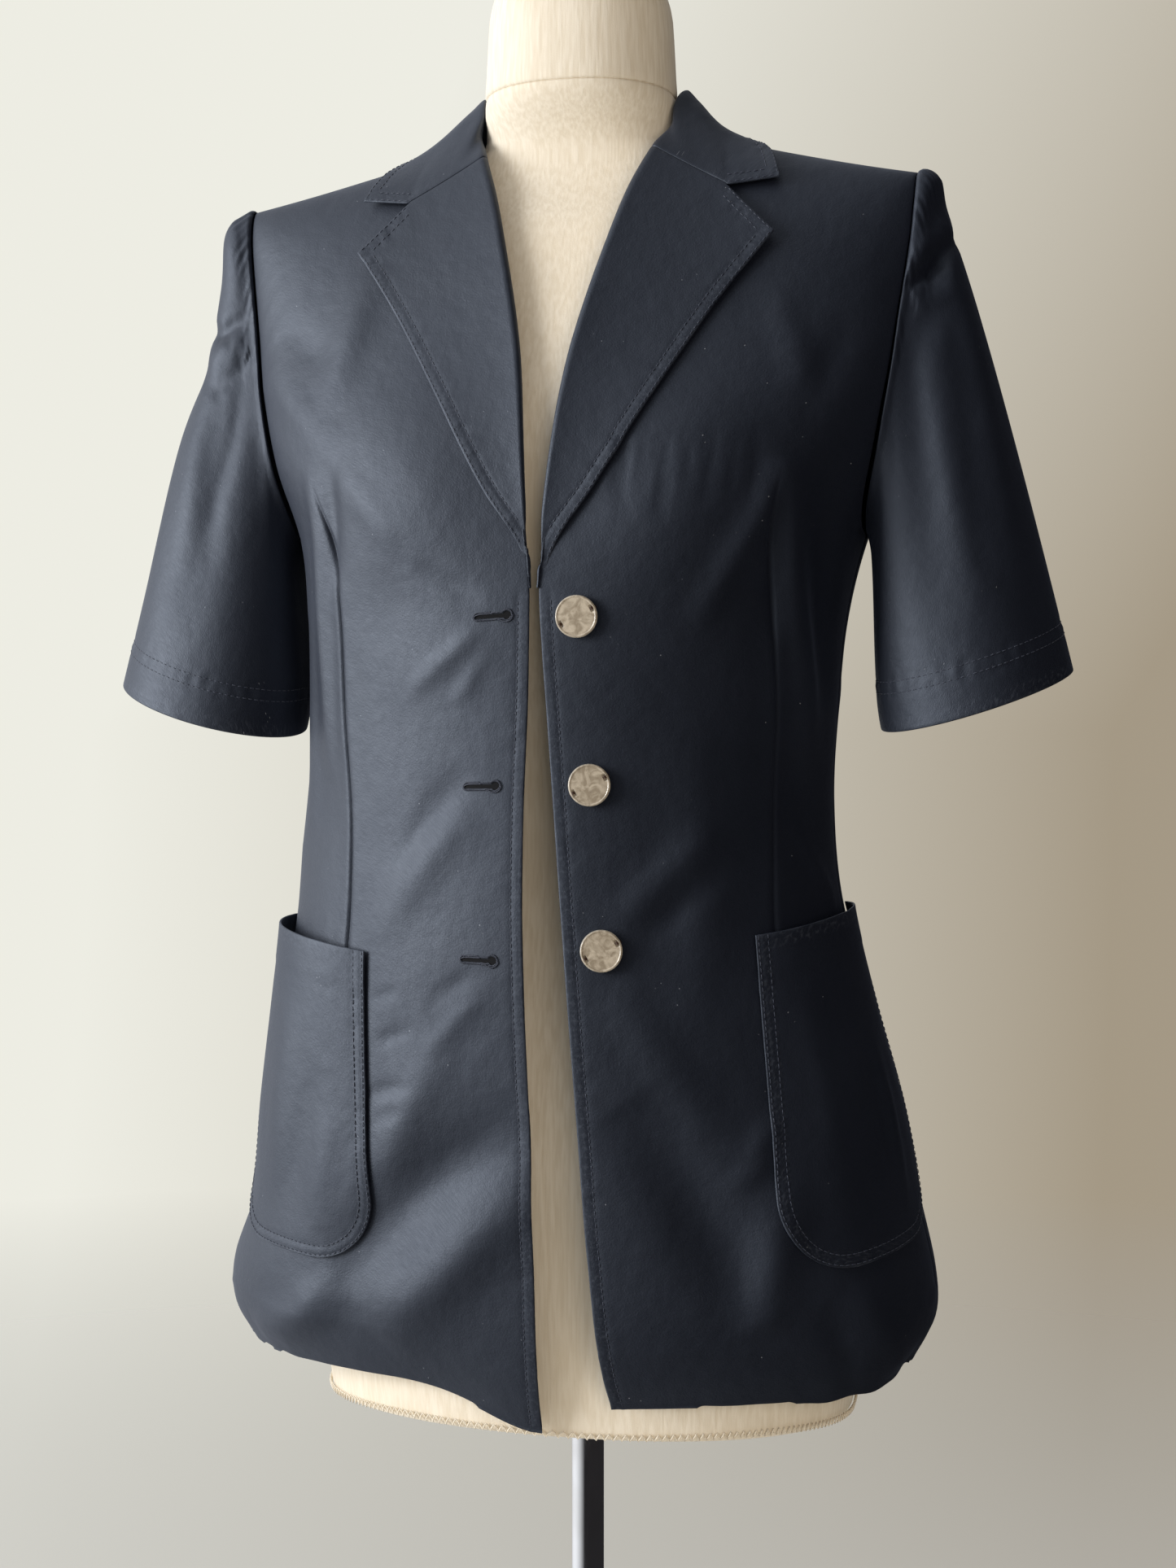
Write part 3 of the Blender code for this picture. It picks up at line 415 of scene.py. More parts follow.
# Large soft folds: side, turn and height of the middle, half width in degrees, half height, move outward
COAT_FOLDS = (
    ("right", 118, 0.740, 14, 0.070, 0.006),
    ("right", 84, 0.742, 15, 0.045, 0.005),
    ("right", 84, 1.030, 20, 0.060, 0.007),
    ("right", 0, 1.000, 20, 0.210, 0.006),
    ("left", 0, 0.980, 22, 0.220, 0.007),
    ("right", 152, 0.735, 13, 0.090, 0.005),
    ("left", 60, 0.735, 13, 0.080, 0.005),
    ("left", 122, 0.740, 14, 0.070, 0.006),
    ("left", 156, 0.735, 13, 0.085, 0.005),
    ("right", 62, 1.045, 12, 0.040, -0.002),
    ("left", 64, 1.050, 12, 0.042, -0.004),
    ("right", 30, 1.150, 12, 0.030, -0.003),
    ("left", 112, 1.060, 15, 0.050, -0.004),
    ("right", 118, 1.060, 13, 0.050, -0.004),
)
# Darts: turn and height of points from the tip on the bust to the end under the pocket's mouth
DARTS = {
    "right": ((48, 1.222), (46, 1.154), (47, 1.080), (44, 1.010), (41, 0.950)),
    "left": ((43, 1.218), (51, 1.143), (55, 1.080), (54.5, 1.010), (52, 0.962)),
}
# Creases: side, half width, height outward, lean of its steep side, then turn and height of the points it
# runs through. A crease fades out at both ends.
CREASES = (
    ("right", 0.008, 0.0034, 0.6, ((49, 1.240), (54, 1.190), (57, 1.120), (59, 1.050))),
    ("right", 0.006, -0.0030, 0.3, ((40, 1.238), (45, 1.200), (48, 1.160))),
    ("right", 0.014, 0.0028, 0.4, ((27, 1.368), (33, 1.318), (39, 1.268))),
    ("right", 0.012, 0.0022, -0.5, ((62, 1.320), (47, 1.279), (36, 1.243))),
    ("right", 0.010, -0.0018, 0.2, ((55, 1.345), (44, 1.318), (34, 1.300))),
    ("right", 0.010, 0.0020, 0.4, ((40, 1.236), (33, 1.209), (25, 1.182))),
    ("right", 0.006, 0.0016, -0.4, ((9, 1.136), (17, 1.118), (27, 1.098))),
    ("right", 0.005, -0.0014, 0.0, ((9, 1.150), (15, 1.162), (22, 1.173))),
    ("right", 0.004, 0.0010, 0.0, ((8, 1.126), (12, 1.108), (16, 1.094))),
    ("right", 0.009, -0.0016, 0.3, ((13, 1.062), (21, 1.035), (30, 1.000))),
    ("right", 0.012, 0.0020, 0.3, ((12, 1.040), (22, 1.010), (35, 0.960))),
    ("right", 0.020, -0.0060, -0.5, ((0, 0.872), (17, 0.819), (36, 0.748))),
    ("right", 0.017, 0.0050, 0.4, ((0, 0.842), (13, 0.785), (25, 0.738))),
    ("right", 0.013, 0.0046, 0.3, ((31, 0.772), (43, 0.744), (62, 0.722))),
    ("right", 0.004, -0.0012, 0.0, ((29, 0.875), (25, 0.879), (19, 0.882))),
    ("right", 0.003, -0.0010, 0.0, ((31, 0.928), (28, 0.932), (25, 0.935))),
    ("right", 0.004, -0.0011, 0.3, ((29, 0.903), (25, 0.908), (21, 0.914))),
    ("right", 0.003, -0.0010, 0.0, ((27, 0.857), (24, 0.865), (21, 0.870))),
    ("right", 0.006, 0.0013, 0.3, ((8, 0.938), (13, 0.921), (18, 0.900))),
    ("right", 0.004, -0.0010, 0.0, ((9, 0.950), (14, 0.940), (19, 0.925))),
    ("right", 0.014, 0.0024, 0.3, ((14, 0.915), (21, 0.870), (25, 0.828))),
    ("right", 0.009, 0.0018, 0.4, ((66, 1.160), (70, 1.090), (70, 1.020))),
    ("right", 0.008, -0.0018, 0.2, ((75, 1.150), (79, 1.080), (78, 1.010))),
    ("left", 0.0035, -0.0013, 0.0, ((10, 1.245), (11.5, 1.222), (13, 1.198))),
    ("left", 0.0030, -0.0011, 0.0, ((13.5, 1.247), (15, 1.222), (16, 1.203))),
    ("left", 0.0038, -0.0014, 0.0, ((17, 1.246), (19, 1.220), (20.5, 1.192))),
    ("left", 0.0032, -0.0011, 0.0, ((21, 1.245), (23, 1.224), (24.5, 1.204))),
    ("left", 0.0036, -0.0013, 0.0, ((25, 1.250), (27.5, 1.222), (29, 1.198))),
    ("left", 0.0032, -0.0010, 0.0, ((29.5, 1.246), (32, 1.226), (33, 1.206))),
    ("left", 0.0034, -0.0012, 0.0, ((34, 1.250), (36.5, 1.226), (38, 1.202))),
    ("left", 0.009, 0.0036, 0.5, ((43, 1.234), (40, 1.191), (30, 1.135))),
    ("left", 0.006, -0.0030, 0.0, ((43, 1.226), (48, 1.180), (52, 1.130))),
    ("left", 0.011, 0.0068, 0.0, ((44, 1.236), (54, 1.172), (64, 1.110), (71, 1.050))),
    ("left", 0.013, -0.0042, 0.0, ((54, 1.240), (68, 1.165), (78, 1.090))),
    ("left", 0.010, 0.0022, 0.4, ((37, 1.030), (24, 1.002), (13, 0.976))),
    ("left", 0.008, -0.0016, 0.0, ((40, 1.010), (28, 0.985), (17, 0.962))),
    ("left", 0.006, 0.0016, 0.3, ((34, 0.846), (38, 0.858), (42, 0.872))),
    ("left", 0.006, 0.0014, 0.3, ((30, 0.832), (35, 0.842), (40, 0.848))),
    ("left", 0.020, -0.0056, 0.4, ((12, 0.880), (23, 0.822), (32, 0.760))),
    ("left", 0.013, 0.0040, 0.3, ((41, 0.840), (37, 0.796), (32, 0.755))),
    ("left", 0.006, 0.0018, 0.5, ((58, 1.036), (72, 1.000), (82, 0.976))),
    ("left", 0.016, 0.0022, 0.2, ((29, 1.090), (33, 0.991), (26, 0.915))),
    ("left", 0.012, 0.0020, 0.3, ((12, 0.945), (20, 0.900), (30, 0.862))),
    ("left", 0.010, 0.0022, 0.4, ((52, 0.776), (60, 0.745), (66, 0.716))),
    ("left", 0.008, -0.0016, 0.0, ((46, 0.770), (50, 0.744), (53, 0.716))),
    ("left", 0.010, 0.0016, 0.3, ((30, 1.345), (36, 1.306), (45, 1.262))),
    ("left", 0.009, -0.0014, 0.0, ((50, 1.330), (46, 1.290), (42, 1.258))),
    ("right", 0.012, 0.0030, 0.4, ((96, 1.120), (120, 1.072), (150, 1.050))),
    ("right", 0.010, -0.0024, 0.2, ((98, 1.080), (124, 1.040), (158, 1.028))),
    ("right", 0.011, 0.0026, 0.4, ((100, 1.030), (122, 1.005), (148, 1.000))),
    ("right", 0.016, 0.0030, 0.3, ((118, 1.300), (128, 1.230), (138, 1.150))),
    ("right", 0.014, -0.0024, 0.2, ((142, 1.330), (150, 1.240), (156, 1.140))),
    ("right", 0.020, 0.0036, 0.3, ((112, 0.960), (122, 0.860), (128, 0.745))),
    ("right", 0.018, -0.0034, 0.3, ((136, 0.930), (140, 0.850), (142, 0.740))),
    ("right", 0.016, 0.0030, -0.4, ((164, 0.955), (160, 0.860), (156, 0.750))),
    ("right", 0.008, -0.0016, 0.0, ((170, 1.400), (158, 1.385), (142, 1.380))),
    ("left", 0.013, 0.0030, 0.4, ((96, 1.110), (118, 1.078), (146, 1.060))),
    ("left", 0.010, -0.0022, 0.2, ((100, 1.075), (126, 1.048), (160, 1.036))),
    ("left", 0.010, 0.0024, 0.4, ((98, 1.035), (120, 1.010), (152, 1.008))),
    ("left", 0.015, 0.0028, -0.3, ((116, 1.290), (124, 1.225), (132, 1.160))),
    ("left", 0.013, -0.0022, 0.2, ((140, 1.320), (146, 1.235), (154, 1.150))),
    ("left", 0.019, 0.0034, 0.3, ((110, 0.950), (118, 0.855), (122, 0.740))),
    ("left", 0.018, -0.0032, 0.3, ((134, 0.940), (137, 0.850), (138, 0.745))),
    ("left", 0.015, 0.0028, 0.4, ((160, 0.945), (158, 0.860), (152, 0.745))),
    ("left", 0.008, -0.0015, 0.0, ((168, 1.395), (156, 1.388), (144, 1.378))),
)


def coat_value(column, row):
    """A column of COAT at any row. The back's rows repeat the front's, so the curve is even about the
    shoulder."""
    values = COAT[column]
    return curve(np.arange(2 * TOP + 1), np.r_[values, values[-2::-1]], row)


def depth_at(row):
    """Depth of the row's middle: minus the front's before the shoulder seam, plus the back's after it."""
    return curve(np.arange(2 * TOP + 1), np.r_[-COAT["front"], COAT["back"][-2::-1]], row)


def form_level(points):
    """How far outside the form's section a point lies at its own height, as a share of the section."""
    x, y, z = np.moveaxis(points, -1, 0)
    half, front, back = (curve(FORM["height"], FORM[name], z) for name in ("half", "front", "back"))
    y = y + np.where(y < 0, bump(x, z, BUST_ON_FORM), 0)
    middle = (front + back) / 2
    across = np.abs(x / half) ** FORM_FULLNESS
    along = np.abs((y - middle) / ((back - front) / 2)) ** FORM_FULLNESS
    return (across + along) ** (1 / FORM_FULLNESS) - 1


def rest_on_form(points, gap):
    """Points nearer than gap to the form are moved straight out of it until they lie on it."""
    tick = 1e-5
    points = points.copy()
    for _ in range(4):
        rises = [form_level(points + tick * e) - form_level(points - tick * e) for e in np.eye(3)]
        slope = np.stack([rise / (2 * tick) for rise in rises], -1)
        size = np.linalg.norm(slope, axis=-1, keepdims=True) + 1e-9
        distance = form_level(points)[..., None] / size
        points += slope / size * np.clip(gap - distance, 0, 0.01)
    return points


def plain_coat(side, turn, row):
    """The coat's body before its folds: each row is a rounded oval, x = half * |sin|^p and
    y = middle + depth * |cos|^p with p = 2 / fullness, whose outer end is lowered by its drop. turn is the
    angle round the body: 0 is the centre front and 180 the centre back on the front's rows, and the other
    way round on the back's. row runs from 0 at the front hem over TOP at the shoulder to the back hem."""
    turn, row = np.broadcast_arrays(np.asarray(turn, float), np.asarray(row, float))
    sign = SIDES[side]
    power = 2 / coat_value("fullness", row)
    half = coat_value(side, row)
    # across the middle both sides share the mean width, so the centre seam meets
    half = half + (0.5 * (coat_value("right", row) + coat_value("left", row)) - half) * np.exp(
        -((np.sin(np.radians(turn)) / 0.25) ** 2)
    )
    sine = np.sin(np.radians(turn))
    cosine = np.cos(np.radians(turn))
    depth = np.where(cosine >= 0, depth_at(row), depth_at(2 * TOP - row))
    x = half * np.sign(sine) * np.abs(sine) ** power
    y = coat_value("middle", row) + depth * np.abs(cosine) ** power
    outer = np.sqrt((x / half) ** 2 + 0.01) / np.sqrt(1.01)
    z = coat_value("height", row) - coat_value("drop", row) * (1 - (1 - outer).clip(0) ** 1.2)
    low = np.clip(1 - np.minimum(row, 2 * TOP - row) / 9, 0, 1)
    forward = np.where(row <= TOP, cosine, -cosine)
    corner = np.exp(-((x / 0.045) ** 2)) * (forward > 0)
    z = z + low * (HEM_LIFT[side] * (1 + forward) / 2 + HEM_AT_SIDE[side] * np.abs(sine) ** 6)
    z = z - low**2 * HEM_DIP[side] * corner
    at_hem = np.clip(1 - np.minimum(row, 2 * TOP - row) / 1.3, 0, 1) ** 1.5
    round_body = np.where(row <= TOP, turn, 180 - turn)
    ripple = np.sin(np.radians(round_body * 21)) * 0.6 + np.sin(np.radians(round_body * 34 + 50)) * 0.4
    z = z + at_hem * HEM_RIPPLE[side] * ripple * np.exp(-(((round_body - 90) / 42) ** 2))
    y = y - np.where(y < 0, bump(x, z, BUST_ON_COAT), 0)
    return np.stack([sign * x, y, z], -1)


def outward(surface, turn, row):
    """Unit normal of surface(turn, row), out of the body, from small steps both ways."""
    across = surface(turn + 0.4, row) - surface(turn - 0.4, row)
    up = surface(turn, row + 0.02) - surface(turn, row - 0.02)
    normal = np.cross(across, up)
    normal /= np.linalg.norm(normal, axis=-1, keepdims=True) + 1e-12
    here = surface(turn, row)
    out = here * (1, 1, 0) + (0, 0, 0.03)
    return normal * np.where((normal * out).sum(-1, keepdims=True) < 0, -1, 1)


def smooth_marks(marks):
    """A crease's few (first, second) values as two smooth runs of 14 values each."""
    first, second = np.array(marks, float).T
    at = np.linspace(0, len(first) - 1, 14)
    return curve(np.arange(len(first)), first, at), curve(np.arange(len(second)), second, at)


def crease_line(side, marks):
    """The line on the coat that a crease runs along. A turn past 90 lies on the back."""
    turn, height = smooth_marks(marks)
    return plain_coat(side, turn, np.interp(height, COAT["height"], np.arange(TOP + 1)))


def crease_height(points, normal, line, wide, depth, lean):
    """Height of one crease at each point: depth * taper * (1 - lean d) exp(-d^2). d is the signed distance
    from the line in half widths, and the taper is sin(pi along)^0.8 along the line."""
    shape = points.shape[:-1]
    points = points.reshape(-1, 3)
    found = np.zeros(len(points))
    reach = 3.0 * wide
    near = np.all((points > line.min(0) - reach) & (points < line.max(0) + reach), axis=1)
    if near.any():
        some = points[near]
        start, step = line[:-1], np.diff(line, axis=0)
        long = (step**2).sum(-1)
        share = np.clip(((some[:, None] - start) * step).sum(-1) / long, 0, 1)
        apart = some[:, None] - start - share[..., None] * step
        distance = np.linalg.norm(apart, axis=-1)
        best = distance.argmin(axis=1)
        pick = np.arange(len(some))
        apart = apart[pick, best]
        beside = np.cross(step[best], normal.reshape(-1, 3)[near])
        d = distance[pick, best] / wide * np.sign((apart * beside).sum(-1))
        along = (best + share[pick, best]) / len(step)
        taper = np.sin(np.pi * along).clip(0) ** 0.8
        found[near] = depth * taper * (1 - lean * d) * np.exp(-d * d)
    return found.reshape(shape)


CREASE_LINES = [
    (side, wide, depth, lean, crease_line(side, marks)) for side, wide, depth, lean, marks in CREASES
]
DART_LINES = {side: crease_line(side, marks) for side, marks in DARTS.items()}


def coat(side, turn, row):
    """The coat's outer surface: plain_coat with its folds, darts and creases, held clear of the form by the
    cloth."""
    turn, row = np.broadcast_arrays(np.asarray(turn, float), np.asarray(row, float))
    points = plain_coat(side, turn, row)
    normal = outward(lambda a, b: plain_coat(side, a, b), turn, row)
    lift = np.zeros(turn.shape)
    round_body = np.where(row <= TOP, turn, 180 - turn)
    for where, middle, height, wide, tall, depth in COAT_FOLDS:
        if where == side:
            aside, above = (round_body - middle) / wide, (points[..., 2] - height) / tall
            lift += depth * np.exp(-(aside**2) - above**2)
    for where, wide, depth, lean, line in CREASE_LINES:
        if where == side:
            lift += crease_height(points, normal, line, wide, depth, lean)
    # the two soft rolls of cloth beside a dart's seam
    lift += crease_height(points, normal, DART_LINES[side], 0.007, 0.0010, 0)
    return rest_on_form(points + normal * lift[..., None], CLOTH + 0.0013)


def coat_normal(side, turn, row):
    return outward(lambda a, b: coat(side, a, b), np.asarray(turn, float), np.asarray(row, float))


def turn_at(side, x, row):
    """The turn at which a row reaches the distance x from the middle."""
    share = np.clip(np.abs(x) / coat_value(side, row), 0, 1) ** (coat_value("fullness", row) / 2)
    return np.sign(x) * np.degrees(np.arcsin(share))


def on_front(side, x, z):
    """Turn and row of the front's point at distance x from the middle and height z, by halving the rows."""
    x, z = np.broadcast_arrays(np.asarray(x, float), np.asarray(z, float))
    low = np.zeros(x.shape)
    high = np.full(x.shape, TOP - 0.02)
    for _ in range(24):
        row = (low + high) / 2
        under = plain_coat(side, turn_at(side, x, row), row)[..., 2] < z
        low = np.where(under, row, low)
        high = np.where(under, high, row)
    return turn_at(side, x, row), row


def way_along(points):
    """Distance from the first point to each point of a line."""
    return np.r_[0, np.cumsum(np.linalg.norm(np.diff(points, axis=0), axis=1))]


def armhole_turn(side, row):
    """Where the armhole cuts each row: short of the side by nothing at the underarm, by most of the cut a
    little above it, and by less and less toward the shoulder."""
    share = np.clip((np.minimum(row, 2 * TOP - row) - UNDERARM) / (TOP - UNDERARM), 0, 1)
    cut = ARMHOLE_CUT[side] * (1 - ARMHOLE_STRAIGHTENS[side] * share)
    return 90 - cut * np.sin(np.pi * share**0.75).clip(0) ** 0.62 - SHOULDER_CUT * share**2


def inner_x(side, row):
    """Distance from the middle to the front's inner boundary: front edge, then roll line, then neckline."""
    points = np.array(FRONT_EDGE[side][:-1] + ROLL_LINE[side])
    rows = np.r_[on_front(side, points[:, 1], points[:, 0])[1], TOP]
    distances = np.r_[points[:, 1], NECK_POINT]
    return np.interp(row, rows, distances) * 0.3 + curve(rows, distances, row) * 0.7


def front_boundary(side, row):
    return turn_at(side, inner_x(side, row), row)


def back_neck_x(row):
    """Distance from the middle to the back's neckline, a quarter of an ellipse."""
    share = np.clip((row - TOP) / (BACK_NECK_ROW - TOP), 0, 1)
    return NECK_POINT * np.sqrt(1 - share**2)


def turn_after(side, row, start, distance):
    """The turn that lies a distance round the body from start, on each row."""
    dense = start[..., None] + np.linspace(0, 110, 160)
    step = np.linalg.norm(np.diff(plain_coat(side, dense, row[..., None]), axis=-2), axis=-1)
    way = np.concatenate([0 * step[..., :1], np.cumsum(step, axis=-1)], -1)
    k = np.clip((way < distance[..., None]).sum(-1, keepdims=True) - 1, 0, way.shape[-1] - 2)
    low, high = np.take_along_axis(way, k, -1), np.take_along_axis(way, k + 1, -1)
    share = (distance[..., None] - low) / (high - low)
    return start + (k + share)[..., 0] * (dense[..., 1] - dense[..., 0])


def grid_way(points, axis):
    """Distance along the rows or the columns of a grid, from its first point."""
    step = np.linalg.norm(np.diff(points, axis=axis), axis=-1)
    start = np.zeros_like(step.take([0], axis=axis))
    return np.concatenate([start, np.cumsum(step, axis=axis)], axis=axis)


def grid_normal(points, ring=False):
    """Unit normals of a grid of points, from its neighbours. A ring closes on itself across its columns."""
    if ring:
        across = np.roll(points, -1, axis=1) - np.roll(points, 1, axis=1)
    else:
        across = np.gradient(points, axis=1)
    normal = np.cross(across, np.gradient(points, axis=0))
    return normal / (np.linalg.norm(normal, axis=-1, keepdims=True) + 1e-15)


def take_between(grid, rows, columns):
    """A grid read at fractional rows and columns, straight between its points."""
    i = np.clip(rows.astype(int), 0, grid.shape[0] - 2)
    j = np.clip(columns.astype(int), 0, grid.shape[1] - 2)
    u = (rows - i).reshape(-1, 1, *([1] * (grid.ndim - 2)))
    v = (columns - j).reshape(1, -1, *([1] * (grid.ndim - 2)))
    a, b = grid[i][:, j], grid[i][:, j + 1]
    c, d = grid[i + 1][:, j], grid[i + 1][:, j + 1]
    return (a * (1 - v) + b * v) * (1 - u) + (c * (1 - v) + d * v) * u


def closer_at_ends(count, steps, first, last):
    """Places 0..count-1 with extra ones inside the first and last interval, at the given distances. first and
    last are the lengths of those intervals."""
    start = [s / first for s in steps if s < 0.8 * first] if first else []
    end = [count - 1 - s / last for s in steps if s < 0.8 * last] if last else []
    return np.unique(np.r_[np.arange(count), start, end])


def shell(name, outer, normal, finish, thick=CLOTH, roll=(1, 1, 1, 1), ring=False, marks=None):
    """A thin closed shell on a grid of points. Along each border the wall rounds off to its middle by
    h = r - sqrt(r^2 - (r - d)^2), within roll half thicknesses of the first and last column and of the
    first and last row. A ring closes on itself across its columns. The UV map holds distances on the cloth
    in metres, and marks are further values for each point, kept as attributes."""
    values = dict(marks or {})
    values["u"] = grid_way(outer, 1)
    values["v"] = grid_way(outer, 0)
    if ring:
        # the first column comes again at the end, so that distances run all the way round
        outer = np.concatenate([outer, outer[:, :1]], 1)
        normal = np.concatenate([normal, normal[:, :1]], 1)
        values = {key: np.concatenate([value, value[:, :1]], 1) for key, value in values.items()}
        values["u"] = grid_way(outer, 1)
    half = thick / 2
    steps = half * np.array((0.12, 0.4, 1.0))
    across = np.median(np.linalg.norm(np.diff(outer, axis=1), axis=-1), axis=0)
    down = np.median(np.linalg.norm(np.diff(outer, axis=0), axis=-1), axis=1)
    columns = closer_at_ends(outer.shape[1], () if ring else steps, across[0], across[-1])
    rows = closer_at_ends(outer.shape[0], steps, down[0], down[-1])
    grid = take_between(outer, rows, columns)
    normal = take_between(normal, rows, columns)
    normal /= np.linalg.norm(normal, axis=-1, keepdims=True) + 1e-15
    values = {key: take_between(value, rows, columns) for key, value in values.items()}
    from_left, from_first = grid_way(grid, 1), grid_way(grid, 0)
    borders = [(from_first, roll[2]), (from_first[-1:] - from_first, roll[3])]
    if not ring:
        borders += [(from_left, roll[0]), (from_left[:, -1:] - from_left, roll[1])]
    sink = np.zeros(grid.shape[:2])
    for distance, wide in borders:
        near = 1 - np.clip(distance / (half * wide), 0, 1)
        sink = np.maximum(sink, half * (1 - np.sqrt(np.clip(1 - near**2, 0, 1))))
    both = [grid - normal * depth[..., None] for depth in (sink, thick - sink)]
    points = np.concatenate(both).reshape(-1, 3)
    index = np.arange(sink.size).reshape(sink.shape)
    inner = index + sink.size
    inner[0], inner[-1] = index[0], index[-1]
    if ring:
        index[:, -1], inner[:, -1] = index[:, 0], inner[:, 0]
    else:
        inner[:, 0], inner[:, -1] = index[:, 0], index[:, -1]

    def corners(k):
        return np.stack([k[:-1, :-1], k[:-1, 1:], k[1:, 1:], k[1:, :-1]], 2).reshape(-1, 4, *k.shape[2:])

    faces = np.concatenate([corners(index), corners(inner)[:, ::-1]])
    place = corners(np.stack([values.pop("u"), values.pop("v")], -1))
    place = np.concatenate([place, place[:, ::-1]])
    a, b, c, d = (points[faces[:, k]] for k in range(4))
    if (np.cross(b - a, c - a) * a).sum() + (np.cross(c - a, d - a) * a).sum() < 0:
        faces, place = faces[:, ::-1], place[:, ::-1]
    used, faces = np.unique(faces, return_inverse=True)
    mesh = bpy.data.meshes.new(name)
    mesh.from_pydata(points[used].tolist(), [], faces.reshape(-1, 4).tolist())
    made = show(name, mesh, finish)
    mesh.uv_layers.new(name="cloth").data.foreach_set("uv", place.astype(np.float32).ravel())
    for key, value in values.items():
        both = np.concatenate([value.ravel(), value.ravel()])[used]
        mesh.attributes.new(key, "FLOAT", "POINT").data.foreach_set("value", both.astype(np.float32))
    return made


def sewn_edge(distance, along, row_at=SEWN_ROW, seed=1):
    """Height that a faced and topstitched edge adds to the cloth: a band puffed by its inner layers, a groove
    under the stitches, and small uneven puckers along it."""
    random = np.random.default_rng(seed)
    phase = random.uniform(0, 6.28, 3)
    band = 0.00012 * np.clip(distance / 0.004, 0, 1) * np.clip((row_at - distance) / 0.0030, 0, 1)
    groove = -0.00020 * np.exp(-(((distance - row_at) / 0.0011) ** 2))
    wave = sum(np.sin(along * 2 * np.pi / long + p) for long, p in zip((0.0062, 0.0091, 0.0160), phase)) / 3
    strength = 0.55 + 0.45 * np.sin(along * 2 * np.pi / 0.071 + phase[0])
    pucker = 0.00050 * strength * wave * np.exp(-(((distance - row_at * 0.8) / 0.0042) ** 2))
    return band + groove + pucker


def sateen_finish():
    """Navy cotton sateen: a fine slanted weave, a soft bluish gloss that breaks up in cloudy patches, pale
    dots at the sewn edges and just inside their stitch rows, and sparse pale lint."""
    made, tree, shader = new_material(
        "navy_sateen", sheen_weight=0.05, sheen_roughness=0.42, sheen_tint=(0.50, 0.62, 1.0, 1),
        specular_ior_level=0.95, specular_tint=(0.76, 0.85, 1.0, 1),
    )
    cloth = node(tree, "ShaderNodeUVMap", uv_map="cloth").outputs[0]
    place = node(tree, "ShaderNodeTexCoord").outputs["Object"]
    turn = (0, 0, np.radians(63))
    slanted = node(tree, "ShaderNodeMapping", {"Vector": cloth, "Rotation": turn}).outputs[0]
    weave = node(
        tree, "ShaderNodeTexWave",
        {"Vector": slanted, "Scale": 480.0, "Distortion": 1.2, "Detail": 1.0, "Detail Scale": 2.0}
    ).outputs["Fac"]
    grain = noise(tree, cloth, 1000.0, 3.0)
    cloud = noise(tree, place, 17.0, 5.0)
    blot = noise(tree, place, 85.0, 5.0)
    fleck = noise(tree, cloth, 420.0, 2.0)
    edge = node(tree, "ShaderNodeAttribute", attribute_name="edge").outputs["Fac"]
    streaks = node(tree, "ShaderNodeMapping", {"Vector": slanted, "Scale": (1500.0, 130.0, 1.0)}).outputs[0]
    slub = noise(tree, streaks, 1.0, 3.0)
    fine = combine(tree, "MULTIPLY_ADD", weave, 0.5, grain)
    clouded = level(tree, cloud, 0.35, 0.70)
    base = mix_colour(tree, clouded, (0.0044, 0.0056, 0.0108, 1), (0.0068, 0.0085, 0.0155, 1))
    woven = mix_colour(tree, level(tree, fine, 0.4, 1.1, 0.0, 0.6), base, (0.0120, 0.0145, 0.0235, 1))
    # paler dots on the sewn edges and just inside their stitch rows
    at_edge = level(tree, edge, 0.0, 0.0016, 0.9, 0.0)
    edge_dots = combine(tree, "MULTIPLY", at_edge, level(tree, blot, 0.40, 0.62))
    at_row = level(tree, edge, 0.0066, 0.0090, 0.6, 0.0)
    by_seam = combine(tree, "MULTIPLY", at_row, level(tree, fleck, 0.50, 0.66))
    either = combine(tree, "MAXIMUM", edge_dots, by_seam)
    paler_by_edges = mix_colour(tree, either, woven, (0.030, 0.035, 0.048, 1))
    lint_dots = node(tree, "ShaderNodeTexVoronoi", {"Vector": cloth, "Scale": 165.0, "Randomness": 1.0})
    lint_few = noise(tree, place, 41.0, 1.0)
    dots = level(tree, lint_dots.outputs["Distance"], 0.045, 0.075, 1.0, 0.0)
    lint = combine(tree, "MULTIPLY", dots, level(tree, lint_few, 0.60, 0.64))
    tree.links.new(mix_colour(tree, lint, paler_by_edges, (0.16, 0.17, 0.19, 1)), shader.inputs["Base Color"])
    cloudy = level(tree, cloud, 0.3, 0.7, 0.55, 0.61)
    rough = combine(tree, "ADD", cloudy, level(tree, slub, 0.3, 0.7, -0.03, 0.04))
    tree.links.new(rough, shader.inputs["Roughness"])
    relief = node(tree, "ShaderNodeBump", {"Strength": 0.45, "Distance": 0.0003, "Height": grain})
    soft = node(tree, "ShaderNodeBump", {"Strength": 0.35, "Distance": 0.0016, "Height": blot,
                                         "Normal": relief.outputs[0]})
    tree.links.new(soft.outputs[0], shader.inputs["Normal"])
    return made


def thread_finish():
    """Polyester sewing thread, a shade paler than the cloth, with a slight gloss."""
    made, tree, shader = new_material("navy_thread", roughness=0.45, sheen_weight=0.06)
    place = node(tree, "ShaderNodeTexCoord").outputs["Object"]
    twist = noise(tree, place, 2600.0, 1.0)
    twisted = level(tree, twist, 0.35, 0.65)
    tone = mix_colour(tree, twisted, (0.024, 0.030, 0.050, 1), (0.056, 0.065, 0.095, 1))
    tree.links.new(tone, shader.inputs["Base Color"])
    return made


